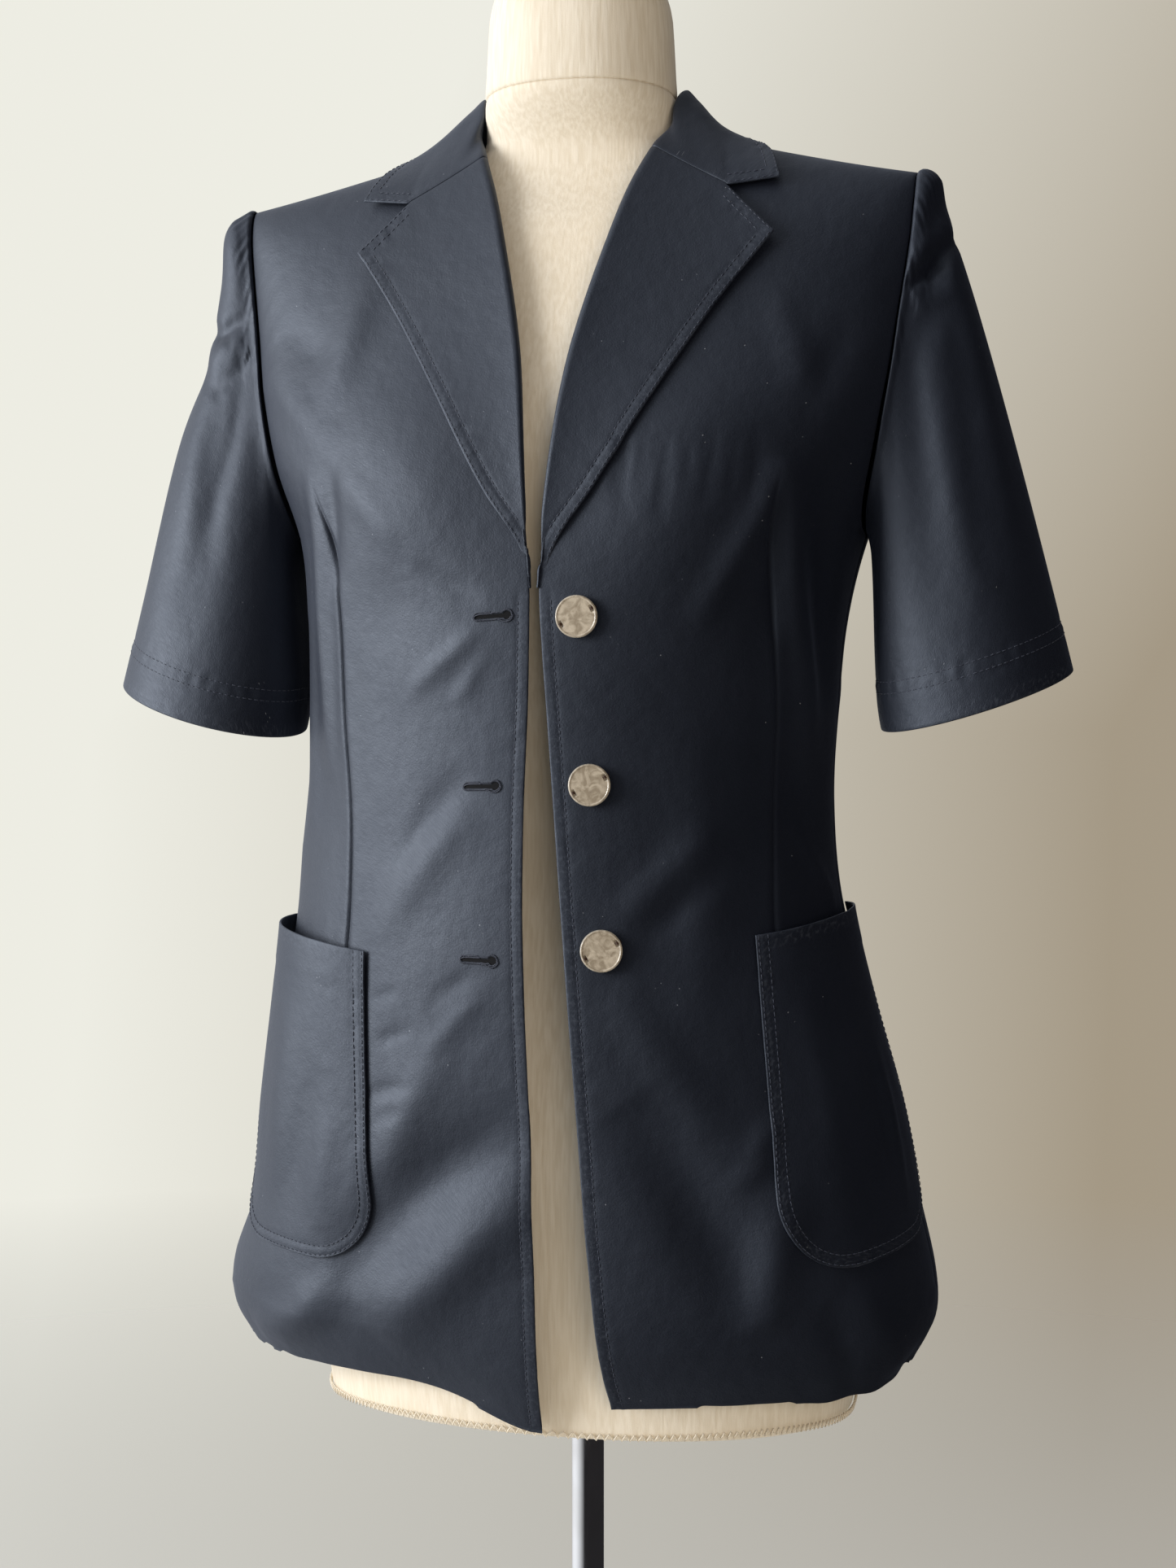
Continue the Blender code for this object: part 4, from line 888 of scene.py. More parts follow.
def stitches(name, runs, finish, length=0.0027, gap=0.0008, radius=0.00024):
    """Rows of small stitches as one mesh. Each run is a line of points with their normals. Each stitch is a
    tube of six sides through four rings, whose ends dive into the cloth."""
    share = np.array((0.0, 0.2, 0.8, 1.0))
    rise = np.array((-0.9, 0.55, 0.55, -0.9)) * radius
    size = np.array((0.5, 1.0, 1.0, 0.5)) * radius
    angle = 2 * np.pi * np.arange(6) / 6
    parts = []
    for points, normals in runs:
        way = way_along(points)
        count = int(way[-1] / (length + gap))
        start = (np.arange(count) + 0.5) * way[-1] / count - length / 2
        at = start[:, None] + share * length
        centre = np.stack([np.interp(at, way, points[:, k]) for k in range(3)], -1)
        up = np.stack([np.interp(at, way, normals[:, k]) for k in range(3)], -1)
        up /= np.linalg.norm(up, axis=-1, keepdims=True)
        ahead = centre[:, -1:] - centre[:, :1]
        ahead = ahead / np.linalg.norm(ahead, axis=-1, keepdims=True)
        beside = np.cross(ahead, up)
        ring = (
            beside[:, :, None] * (np.cos(angle) * size[:, None])[..., None]
            + up[:, :, None] * (np.sin(angle) * size[:, None] + rise[:, None])[..., None]
        )
        parts.append((centre[:, :, None] + ring).reshape(-1, 3))
    points = np.concatenate(parts)
    index = np.arange(24).reshape(4, 6)
    after = np.roll(index, -1, axis=1)
    walls = np.stack([index[:-1], index[1:], after[1:], after[:-1]], -1).reshape(-1, 4)
    caps = np.array(((0, 1, 2, 3), (0, 3, 4, 5), (21, 20, 19, 18), (23, 22, 21, 18)))
    one = np.concatenate([walls, caps])
    faces = (one[None] + 24 * np.arange(len(points) // 24)[:, None, None]).reshape(-1, 4)
    a, b, c = (points[faces[:len(one), k]] for k in range(3))
    middle = points[:24].mean(axis=0)
    if (np.cross(b - a, c - a) * (a - middle)).sum() < 0:
        faces = faces[:, ::-1]
    return place_mesh(name, points, faces, finish)


def even_rows(side, first, last, count):
    """Rows from first to last at even distances on the coat, measured half way from centre to side."""
    dense = np.linspace(first, last, 400)
    way = way_along(plain_coat(side, 45.0, dense))
    return np.interp(np.linspace(0, way[-1], count), way, dense)


def dart_turn(side, rows):
    """Turn of the line that a dart lies on, which runs on past its ends to the hem and the shoulder."""
    turn, height = np.array(DARTS[side]).T
    row = np.interp(height, COAT["height"], np.arange(TOP + 1))
    return curve(np.r_[0, row[::-1], TOP], np.r_[turn[-1], turn[::-1], turn[0] + 4], rows)


def front_panel(side):
    """One front as a grid: its points, normals, and each point's distance from the front edge."""
    rows = np.r_[even_rows(side, 0, UNDERARM, 150), even_rows(side, UNDERARM, TOP - 0.004, 66)[1:]]
    start = front_boundary(side, rows)
    end = np.where(rows <= UNDERARM, 90 - 0.03, armhole_turn(side, rows))
    dart = dart_turn(side, rows)
    near_edge = np.array((0, 0.0016, 0.0032, 0.0048, 0.0058, 0.0065, 0.0072, 0.0084, 0.0105, 0.0135))
    beside_dart = (0.0006, 0.0014, 0.0028, 0.0050, 0.0080)
    by_dart = np.r_[-np.array(beside_dart[::-1]), 0, beside_dart]
    turns, from_dart = [], []
    for r, a, b, middle in zip(rows, start, end, dart):
        dense = np.linspace(a, b, 200)
        way = way_along(plain_coat(side, dense, r))
        at = np.clip(np.interp(middle, dense, way), 0.35 * way[-1], 0.72 * way[-1])
        ways = np.r_[
            near_edge,
            np.linspace(near_edge[-1], at + by_dart[0], 26)[1:-1],
            at + by_dart,
            np.linspace(at + by_dart[-1], way[-1], 30)[1:],
        ]
        turns.append(np.interp(ways, way, dense))
        from_dart.append(ways - at)
    turns, from_dart = np.array(turns), np.array(from_dart)
    rows = np.broadcast_to(rows[:, None], turns.shape)
    points = coat(side, turns, rows)
    normal = coat_normal(side, turns, rows)
    height = points[..., 2]
    low, high = DARTS[side][-1][1], DARTS[side][0][1]
    sewn = np.clip((height - low + 0.012) / 0.01, 0, 1) * np.clip((high - height) / 0.03, 0, 1)
    groove = -0.0019 * np.exp(-((from_dart / 0.0012) ** 2)) * sewn
    edge = grid_way(points, 1)
    along = np.broadcast_to(grid_way(points, 0)[:, :1], edge.shape)
    below_break = np.clip((ROLL_LINE[side][0][0] - height) / 0.01, 0, 1)
    hem = np.broadcast_to(grid_way(points, 0), edge.shape)
    past_turning = hem - HEM_TURNING
    turned_up = 0.00035 * np.exp(-((past_turning / 0.0022) ** 2))
    turned_up = turned_up - 0.00022 * np.clip(past_turning / 0.004, 0, 1)
    lift = groove + sewn_edge(edge, along, seed=SIDES[side] + 5) * below_break + turned_up
    points = points + normal * lift[..., None]
    return points, normal, np.where(below_break > 0, edge, 1.0)


def back_panel(side):
    """One back as a grid: its points and normals."""
    underarm = 2 * TOP - UNDERARM
    rows = np.r_[even_rows(side, TOP + 0.004, underarm, 70), even_rows(side, underarm, 2 * TOP, 120)[1:]]
    start = np.maximum(turn_at(side, back_neck_x(rows), rows), 0.03)
    end = np.where(rows >= underarm, 90 - 0.03, armhole_turn(side, rows))
    dense = start[:, None] + (end - start)[:, None] * np.linspace(0, 1, 160)
    way = grid_way(plain_coat(side, dense, rows[:, None]), 1)
    share = np.linspace(0, 1, 64)
    turns = np.array([np.interp(share * w[-1], w, d) for w, d in zip(way, dense)])
    rows = np.broadcast_to(rows[:, None], turns.shape)
    points = coat(side, turns, rows)
    return points, coat_normal(side, turns, rows)


sateen = sateen_finish()
thread = thread_finish()
panels = {}
for side in SIDES:
    points, normal, edge = front_panel(side)
    panels[side] = points, normal
    front = shell(f"front_panel_{side}", points, normal, sateen, roll=(1, 3, 1, 3), marks={"edge": edge})
    sewn_rows = points[..., 2][:, 5] < ROLL_LINE[side][0][0] - 0.004
    row = stitches(f"front_stitches_{side}", [(points[sewn_rows, 5], normal[sewn_rows, 5])], thread)
    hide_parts(f"front_{side}")
    points, normal = back_panel(side)
    back = shell(f"back_panel_{side}", points, normal, sateen, roll=(3, 3, 3, 1),
                 marks={"edge": 1 + 0 * points[..., 0]})
    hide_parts(f"back_{side}")
    for piece in (front, back, row):
        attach(piece, "root")


# Sleeves. Each short sleeve is one piece, its underarm seam closed, its cap eased into the armhole. The hem
# is turned up inside and held by two rows of topstitching.
CUFF_MIDDLE = {"right": (-0.2310, -0.0120, 1.0965), "left": (0.2270, -0.0120, 1.0985)}
CUFF_ACROSS = {"right": 0.0590, "left": 0.0550}
CUFF_DEPTH = 0.0500
SLEEVE_COLUMNS = 176
ARMHOLE_RIDGE = 0.0016  # how high the cap stands beside the armhole seam, and how far from it
CUFF_LEAN = 17.0
CUFF_DIP = 10.0
CUFF_TURN = -3.0
CAP_REACH = 0.045
SLEEVE_HEM_ROWS = (0.0215, 0.0280)  # the two topstitch rows' distances from the hem's edge
# Large folds: side, place round (0 underarm, 0.25 front, 0.5 outside), place along, half sizes, move outward
SLEEVE_FOLDS = (
    ("right", 0.50, 0.17, 0.14, 0.10, 0.0095),
    ("right", 0.48, 0.44, 0.12, 0.09, -0.0060),
    ("right", 0.27, 0.60, 0.05, 0.30, -0.0020),
    ("right", 0.80, 0.55, 0.07, 0.30, -0.0040),
    ("left", 0.50, 0.10, 0.13, 0.09, 0.0055),
    ("left", 0.36, 0.26, 0.08, 0.08, -0.0050),
    ("left", 0.22, 0.55, 0.05, 0.30, -0.0020),
    ("left", 0.78, 0.55, 0.07, 0.30, -0.0040),
)
# Creases: side, half width, height outward, lean, then place round and place along of its points
SLEEVE_CREASES = (
    ("right", 0.005, -0.0028, 0.4, ((0.245, 0.10), (0.30, 0.24), (0.345, 0.32), (0.40, 0.37), (0.48, 0.38))),
    ("right", 0.007, 0.0018, 0.3, ((0.20, 0.08), (0.25, 0.22), (0.30, 0.31), (0.36, 0.39), (0.44, 0.42))),
    ("right", 0.005, -0.0016, 0.0, ((0.22, 0.22), (0.27, 0.33), (0.33, 0.42), (0.40, 0.46))),
    ("right", 0.012, 0.0012, 0.4, ((0.44, 0.30), (0.36, 0.50), (0.30, 0.74))),
    ("right", 0.010, -0.0012, 0.2, ((0.37, 0.34), (0.30, 0.52), (0.25, 0.70))),
    ("right", 0.012, 0.0012, -0.4, ((0.49, 0.40), (0.44, 0.60), (0.36, 0.86))),
    ("right", 0.006, -0.0014, 0.2, ((0.26, 0.16), (0.24, 0.40), (0.27, 0.66))),
    ("right", 0.009, 0.0022, 0.4, ((0.60, 0.20), (0.62, 0.50), (0.60, 0.85))),
    ("right", 0.008, -0.0018, 0.2, ((0.68, 0.15), (0.70, 0.45), (0.68, 0.80))),
    ("right", 0.010, 0.0020, 0.3, ((0.86, 0.14), (0.82, 0.40), (0.80, 0.75))),
    ("left", 0.0042, -0.0044, 0.5, ((0.235, 0.06), (0.285, 0.19), (0.36, 0.27), (0.42, 0.295),
                                    (0.52, 0.285))),
    ("left", 0.007, 0.0034, 0.2, ((0.24, 0.01), (0.31, 0.17), (0.37, 0.225), (0.44, 0.25), (0.51, 0.245))),
    ("left", 0.007, 0.0018, 0.2, ((0.24, 0.13), (0.29, 0.26), (0.35, 0.32), (0.42, 0.345))),
    ("left", 0.009, 0.0015, 0.5, ((0.42, 0.22), (0.40, 0.50), (0.37, 0.84))),
    ("left", 0.009, -0.0011, 0.0, ((0.36, 0.30), (0.34, 0.52), (0.31, 0.78))),
    ("left", 0.008, 0.0010, 0.4, ((0.26, 0.30), (0.27, 0.55), (0.29, 0.84))),
    ("left", 0.009, 0.0022, 0.4, ((0.58, 0.22), (0.61, 0.50), (0.60, 0.84))),
    ("left", 0.008, -0.0018, 0.2, ((0.66, 0.16), (0.69, 0.44), (0.67, 0.82))),
    ("left", 0.010, 0.0020, 0.3, ((0.84, 0.14), (0.80, 0.40), (0.79, 0.74))),
)


def sleeve_surface(side, around, along):
    """The sleeve: for each place round the armhole, a cubic curve that leaves it outward and reaches the cuff
    along the arm, (1 + 2s)(1 - s)^2 hole + s(1 - s)^2 leave + s^2(3 - 2s) cuff - s^2(1 - s) arrive."""
    sign = SIDES[side]
    around = around % 1
    row = UNDERARM + 2 * (TOP - UNDERARM) * around[0]
    hole = coat(side, armhole_turn(side, row), row)
    out = coat_normal(side, armhole_turn(side, row), row)
    before, beyond = (coat(side, armhole_turn(side, row + step), row + step) for step in (-0.05, 0.05))
    along_edge = beyond - before
    into = sign * np.cross(along_edge, out)
    into /= np.linalg.norm(into, axis=-1, keepdims=True)
    angle = 2 * np.pi * around[0]
    lean, dip, turn = np.radians((CUFF_LEAN, CUFF_DIP, CUFF_TURN))
    across = np.array((sign * np.cos(lean) * np.cos(turn), -np.cos(lean) * np.sin(turn), np.sin(lean)))
    forward = np.array((-sign * np.sin(turn), -np.cos(dip) * np.cos(turn), -np.sin(dip)))
    middle = np.array(CUFF_MIDDLE[side])
    cuff = (
        middle
        - across * (CUFF_ACROSS[side] * np.cos(angle))[..., None]
        + forward * (CUFF_DEPTH * np.sin(angle))[..., None]
    )
    top_share = (1 - np.cos(angle)) / 2
    reach = 0.020 + (CAP_REACH - 0.020) * top_share**2
    leave = np.stack([sign * reach, 0 * reach, -0.050 * (1 - top_share) ** 1.2], -1)
    length = np.linalg.norm(cuff - hole, axis=-1)
    fall = np.array((sign * 0.24, -0.04, -0.97))
    arrive = fall * (length * (0.75 + 0.25 * top_share))[..., None]
    hole = hole - into * 0.0004 + out * (0.0004 + 0.0018 * (1 - top_share) ** 3)[..., None]
    s = along[..., None]
    return (
        (1 + 2 * s) * (1 - s) ** 2 * hole
        + s * (1 - s) ** 2 * leave
        + s * s * (3 - 2 * s) * cuff
        - s * s * (1 - s) * arrive
    )


def ring_normal(points):
    """Unit normals of a ring of columns, pointing away from its middle."""
    normal = grid_normal(points, ring=True)
    middle = points.mean(axis=1, keepdims=True)
    return normal * np.sign(((points - middle) * normal).sum())


def sleeve(side):
    """One sleeve as a grid: points, normals, and distance from the hem."""
    along = np.r_[0, 0.004, 0.010, 0.018, 0.028, np.linspace(0.042, 1, 86)]
    around = np.arange(SLEEVE_COLUMNS) / SLEEVE_COLUMNS
    around, along = np.meshgrid(around, along)
    points = sleeve_surface(side, around, along)
    normal = ring_normal(points)
    lift = np.zeros(around.shape)
    for where, place, height, wide, tall, depth in SLEEVE_FOLDS:
        if where == side:
            apart = (around - place + 0.5) % 1 - 0.5
            lift += depth * np.exp(-((apart / wide) ** 2) - ((along - height) / tall) ** 2)
    lift = lift * np.minimum(1, along * 8)
    for where, wide, depth, lean, marks in SLEEVE_CREASES:
        if where == side:
            a, b = smooth_marks(marks)
            column = np.rint(a * SLEEVE_COLUMNS).astype(int) % SLEEVE_COLUMNS
            row = np.rint(np.interp(b, along[:, 0], np.arange(len(along)))).astype(int)
            line = points[row, column]
            lift += crease_height(points, normal, line, wide, depth, lean) * np.minimum(1, along * 14)
    # fullness eased into the cap: small soft puckers beside the armhole seam
    way = grid_way(points, 0)
    ease = np.sin(around * 2 * np.pi * 31 + 1.3) * 0.5 + np.sin(around * 2 * np.pi * 43) * 0.5
    cap = np.sin(np.pi * around).clip(0) ** 2
    lift += 0.00055 * ease * cap * np.exp(-(((way - 0.007) / 0.007) ** 2))
    beyond_ridge = np.exp(-(((way - ARMHOLE_RIDGE).clip(0) / 0.007) ** 2))
    lift += ARMHOLE_RIDGE * np.clip(way / ARMHOLE_RIDGE, 0, 1) * beyond_ridge * (0.35 + 0.65 * cap)
    from_hem = way[-1:] - way
    first, second = SLEEVE_HEM_ROWS
    turn = grid_way(points, 1)
    puckers = np.sin(turn * 2 * np.pi / 0.0092) * 0.6 + np.sin(turn * 2 * np.pi / 0.0127 + 2) * 0.4
    for at in SLEEVE_HEM_ROWS:
        lift -= 0.00036 * np.exp(-(((from_hem - at) / 0.0009) ** 2))
    lift += 0.00030 * puckers * np.exp(-(((from_hem - (first + second) / 2) / 0.0050) ** 2))
    lift += 0.00030 * np.clip((second - from_hem) / 0.002, 0, 1)
    points = points + normal * lift[..., None]
    return points, ring_normal(points), from_hem


def line_at(grid, normal, distance, at):
    """The line across a grid's columns at which distance, which falls from row to row, reaches at."""
    column = np.arange(grid.shape[1])
    k = np.clip((distance > at).sum(axis=0) - 1, 0, len(distance) - 2)
    high, low = distance[k, column], distance[k + 1, column]
    share = np.clip((high - at) / (high - low), 0, 1)[:, None]
    return grid[k, column] * (1 - share) + grid[k + 1, column] * share, normal[k, column]


for side in SIDES:
    points, normal, from_hem = sleeve(side)
    made = shell(f"sleeve_cloth_{side}", points, normal, sateen, roll=(1, 1, 2, 1), ring=True,
                 marks={"edge": from_hem})
    runs = [line_at(points, normal, from_hem, at) for at in SLEEVE_HEM_ROWS]
    runs = [(np.concatenate([a, a[:1]]), np.concatenate([b, b[:1]])) for a, b in runs]
    rows = stitches(f"sleeve_stitches_{side}", runs, thread)
    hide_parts(f"sleeve_{side}")
    for piece in (made, rows):
        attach(piece, "root")


# Lapels. Each front is turned back along the roll line from the top button up, and shows its facing: one
# layer of sateen over interfacing, topstitched beside its outer and top edges. It lies on the chest and
# springs at the roll.
LAPEL_EDGE = ((1.160, 0.003), (1.178, 0.009), (1.211, 0.031), (1.263, 0.061), (1.316, 0.093),
              (1.3535, 0.1195))
GORGE = ((0.0505, 1.4040), (0.0908, 1.3832), (0.1195, 1.3535))
COLLAR_POINT = (0.1205, 1.3845)
NOTCH_SHARE = 0.52
LEAF = 0.0015  # thickness of the lapel and the collar
LEAF_OVER = LEAF + SEAM + 0.0008  # how far the leaf's face lies above the front's
LEAF_ROWS = (0.0013, 0.0068)  # the two topstitch rows' distances from a leaf's edge


def gorge_point(share):
    """Distance from the middle and height of the lapel's top edge, from the roll line to its point."""
    knots = (0, NOTCH_SHARE, 1)
    return [np.interp(share, knots, [p[k] for p in GORGE]) for k in (0, 1)]


def lapel(side):
    """The turned-back leaf: straight rulings from the roll line to the outer edge, laid on the front. The
    first columns carry it round the roll as a half circle, x = -r sin a and height = r (1 - cos a)."""
    up = np.linspace(0, 1, 110)
    out = np.r_[0, 0.012, 0.03, 0.055, np.linspace(0.085, 0.93, 40), 0.945, 0.96, 0.975, 0.988, 1.0]
    roll = np.array(ROLL_LINE[side])
    edge = np.array(LAPEL_EDGE)
    roll_way, edge_way = way_along(roll), way_along(edge)
    inner = [curve(roll_way, roll[:, k], up * roll_way[-1]) for k in (1, 0)]
    outer = [curve(edge_way, edge[:, k], up * edge_way[-1]) for k in (1, 0)]
    x = inner[0][:, None] + (outer[0] - inner[0])[:, None] * out
    z = inner[1][:, None] + (outer[1] - inner[1])[:, None] * out
    top_x, top_z = gorge_point(out)
    top_x = top_x + (roll[-1, 1] - GORGE[0][0]) * (1 - out)
    blend = np.clip((up - 0.70) / 0.30, 0, 1)[:, None] ** 2
    x = x + blend * (top_x - x[-1])
    z = z + blend * (top_z - 0.0007 - z[-1])
    turn, row = on_front(side, x, z)
    normal = coat_normal(side, turn, row)
    width = np.hypot(x[:, -1:] - x[:, :1], z[:, -1:] - z[:, :1])
    open_share = np.clip(width / 0.05, 0, 1)
    spring = 0.0046 * open_share * (1 - out) ** 2.2
    settled = np.clip(width / 0.014, 0, 1)
    over_front = (LEAF_OVER + 0.0007) * settled * settled * (3 - 2 * settled) - 0.0007
    over_front = over_front + 0.0030 * up[:, None] ** 8 * out**2
    leaf = coat(side, turn, row) + normal * (over_front + spring)[..., None]
    # the roll: from the front's own edge round to the leaf's first column
    start = coat(side, turn[:, :1], row[:, :1]) + normal[:, :1] * 0.0002
    toward = leaf[:, 2:3] - leaf[:, :1]
    toward /= np.linalg.norm(toward, axis=-1, keepdims=True)
    angle = np.linspace(0, np.pi, 9)[:-1]
    half = (leaf[:, :1] - start) / 2
    radius = np.linalg.norm(half, axis=-1, keepdims=True)
    rise, bulge = (1 - np.cos(angle))[None, :, None], np.sin(angle)[None, :, None]
    bend = start + half * rise - toward * radius * 1.15 * bulge
    points = np.concatenate([bend, leaf], 1)
    return points, len(angle), len(angle) + np.searchsorted(out, NOTCH_SHARE)


leaf_tops = {}
for side in SIDES:
    points, first, notch = lapel(side)
    normal = grid_normal(points)
    normal *= np.sign(-normal[60, 30, 1])
    across, along = grid_way(points, 1), grid_way(points, 0)
    from_outer, from_top = across[:, -1:] - across, along[-1:] - along
    column = np.arange(points.shape[1])
    free = np.clip((column - notch) / 3, 0, 1)
    lift = sewn_edge(from_outer, along, seed=11 + SIDES[side])
    lift = lift + sewn_edge(from_top, across, seed=21 + SIDES[side]) * free
    points = points + normal * lift[..., None]
    leaf_tops[side] = points[-1, :notch + 1]
    nearest = np.minimum(from_outer, np.where(free > 0, from_top, 1.0))
    made = shell(f"lapel_leaf_{side}", points, normal, sateen, thick=LEAF, marks={"edge": nearest})
    runs = []
    for at in LEAF_ROWS:
        line, line_up = line_at(points.transpose(1, 0, 2), normal.transpose(1, 0, 2), from_outer.T, at)
        keep = (from_top[:, -1] > at) & (from_outer[:, first] > at + 0.003)
        runs.append((line[keep], line_up[keep]))
        line, line_up = line_at(points, normal, from_top, at)
        keep = (from_outer[-1] > at) & (column > notch)
        runs.append((line[keep], line_up[keep]))
    rows = stitches(f"lapel_stitches_{side}", runs, thread)
    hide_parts(f"lapel_{side}")
    for piece in (made, rows):
        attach(piece, "root")


# Collar. One leaf of sateen with an inner stand, sewn into the neckline from notch to notch. It rises at the
# neck, rolls over and falls on the shoulders and the back, and is topstitched round its outer edge.
COLLAR = table(
    "row stand middle_x middle_row edge_x edge_row",
    (-1.75, 0.0030, 0.0908, -2.40, 0.1230, -2.10),
    (-1.15, 0.0100, 0.0870, -1.45, 0.1140, -1.20),
    (-0.60, 0.0175, 0.0830, -0.65, 0.1060, -0.50),
    (0.00, 0.0230, 0.0780, 0.15, 0.0975, 0.25),
    (0.60, 0.0270, 0.0715, 0.95, 0.0910, 1.25),
    (1.20, 0.0290, 0.0585, 1.75, 0.0765, 2.20),
    (1.70, 0.0305, 0.0340, 2.35, 0.0450, 2.95),
    (1.90, 0.0310, 0.0000, 2.55, 0.0000, 3.20),
)
# For each side: how full the fall stands at the shoulder, how far the stand leans in for its height, and
# how far the roll rises above it
COLLAR_FULL = {"right": 0.0140, "left": 0.0060}
COLLAR_IN = {"right": 0.13, "left": 0.12}
COLLAR_HIGH = {"right": 0.0050, "left": 0.0028}


def collar_half(side, stations):
    """One half of the collar as sections from the neck seam up the stand, over the roll and down the fall.
    Each is a smooth curve through six points: seam, top of the stand, roll, over it, middle and edge."""
    at = np.linspace(0, 1, len(COLLAR["row"]))
    row = TOP + curve(at, COLLAR["row"], stations)
    stand = curve(at, COLLAR["stand"], stations)
    x_front = inner_x(side, np.minimum(row, TOP - 0.001))
    x_seam = np.where(row < TOP, x_front, back_neck_x(row))
    turn = turn_at(side, x_seam, row)
    seam = coat(side, turn, row) + coat_normal(side, turn, row) * (SEAM + 0.0003)
    inward = -seam * (1, 1, 0)
    inward[:, 1] += 0.004
    inward /= np.linalg.norm(inward, axis=1, keepdims=True)
    up = np.array((0, 0, 1.0))
    high = stand[:, None]

    def on_coat(prefix, front_end, lift):
        first_row = float(on_front(side, *front_end)[1]) - TOP
        x = curve(at, np.r_[front_end[0], COLLAR[f"{prefix}_x"][1:]], stations)
        row = TOP + curve(at, np.r_[first_row, COLLAR[f"{prefix}_row"][1:]], stations)
        turn = turn_at(side, x, row)
        return coat(side, turn, row) + coat_normal(side, turn, row) * lift[:, None]

    fold = np.clip(stand / 0.030, 0.12, 1)
    near = LEAF + SEAM + 0.0005
    notch = np.array((GORGE[1][0], GORGE[1][1] + 0.0010))
    at_shoulder = np.exp(-(((row - TOP) / 1.1) ** 2))
    middle = on_coat("middle", notch, near + (0.0060 + COLLAR_FULL[side] * at_shoulder) * fold**2)
    edge = on_coat("edge", COLLAR_POINT, near + 0.0034 * np.exp(-((stations / 0.10) ** 2)))
    stand_top = seam + up * high * 0.75 + inward * high * COLLAR_IN[side]
    roll = seam + up * (high + COLLAR_HIGH[side]) + inward * high * (COLLAR_IN[side] + 0.03)
    over = roll * 0.66 + middle * 0.34 + up * (0.0012 * fold)[:, None]
    knots = np.array((0, 0.20, 0.32, 0.46, 0.72, 1.0))
    controls = np.stack([seam, stand_top, roll, over, middle, edge])
    across = np.r_[np.linspace(0, 0.5, 27), np.linspace(0.52, 0.93, 20), 0.945, 0.96, 0.975, 0.99, 1.0]
    places = [(i, k) for i in range(len(stations)) for k in range(3)]
    section = np.stack([curve(knots, controls[:, i, k], across) for i, k in places])
    section = section.reshape(len(stations), 3, len(across)).transpose(0, 2, 1)
    # the front end follows the lapel's top edge from the roll to the notch, then runs free to its point
    top = leaf_tops[side]
    way = way_along(top)
    at_top = np.clip(across / 0.72, 0, 1) * way[-1]
    front_end = np.stack([np.interp(at_top, way, top[:, k]) for k in range(3)], -1)
    front_end += (section[0, -1] - top[-1]) * np.clip((across - 0.72) / 0.28, 0, 1)[:, None]
    like_front = np.clip(1 - stations / 0.20, 0, 1)
    like_front = (like_front**2 * (3 - 2 * like_front))[:, None, None]
    return section + like_front * (front_end - section[0])


stations = np.linspace(0, 1, 84) ** 0.95
right, left = (collar_half(side, stations) for side in SIDES)
middle = (right[-1] + left[-1]) / 2 * (0, 1, 1)
points = np.concatenate([right[:-1], middle[None], left[-2::-1]])
normal = grid_normal(points)
normal *= np.sign(normal[len(points) // 2, -2, 1])
across, along = grid_way(points, 1), grid_way(points, 0)
from_outer = across[:, -1:] - across
from_ends = np.minimum(along, along[-1:] - along)
on_fall = np.clip((across / across[:, -1:] - 0.5) / 0.2, 0, 1)
lift = sewn_edge(from_outer, along, seed=31) + sewn_edge(from_ends, across, seed=32) * on_fall
points = points + normal * lift[..., None]
sewn_end = np.where(on_fall > 0, from_ends, 1.0)
collar = shell("collar_leaf", points, normal, sateen, thick=LEAF,
               marks={"edge": np.minimum(from_outer, sewn_end)})
runs = []
free_end = np.flatnonzero(across[0] / across[0, -1] > 0.66)
for at in LEAF_ROWS:
    line, line_up = line_at(points.transpose(1, 0, 2), normal.transpose(1, 0, 2), from_outer.T, at)
    inside = from_ends[:, -1] > at
    runs.append((line[inside], line_up[inside]))
    for end in (1, -1):
        end_points = points[::end][:, free_end]
        inside = from_outer[::end][0, free_end] > at
        line, line_up = line_at(end_points, normal[::end][:, free_end], -grid_way(end_points, 0), -at)
        runs.append((line[inside], line_up[inside]))
collar_rows = stitches("collar_stitches", runs, thread)
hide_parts("collar")
for piece in (collar, collar_rows):
    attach(piece, "root")


# Pockets. Two deep patch pockets with round lower corners, cut from the same sateen and sewn on flat by an
# edge stitch and a second row inside it. Their hemmed mouths stand a little open.
POCKET = {
    "right": dict(mouth=0.9550, rise=0.012, bottom=0.7725, inset=0.099, low=0.130, high=0.108, open=0.0092),
    "left": dict(mouth=0.9690, rise=0.008, bottom=0.7850, inset=0.104, low=0.130, high=0.108, open=0.0060),
}
POCKET_CORNER = 0.042
POCKET_ROWS = (0.0014, 0.0068)  # the two topstitch rows' distances from the edge
# Creases on the pockets: side, half width, height outward, lean, then share across and share up
POCKET_CREASES = (
    ("right", 0.012, 0.0016, 0.3, ((0.50, 0.80), (0.62, 0.50), (0.70, 0.18))),
    ("right", 0.010, -0.0014, 0.0, ((0.30, 0.62), (0.44, 0.36), (0.56, 0.10))),
    ("right", 0.009, 0.0012, 0.3, ((0.20, 0.50), (0.30, 0.28), (0.34, 0.08))),
    ("left", 0.006, 0.0022, 0.5, ((0.66, 0.62), (0.74, 0.34), (0.80, 0.08))),
    ("left", 0.006, -0.0016, 0.0, ((0.58, 0.66), (0.66, 0.36), (0.70, 0.12))),
    ("left", 0.010, 0.0012, 0.2, ((0.22, 0.86), (0.30, 0.50), (0.34, 0.20))),
)


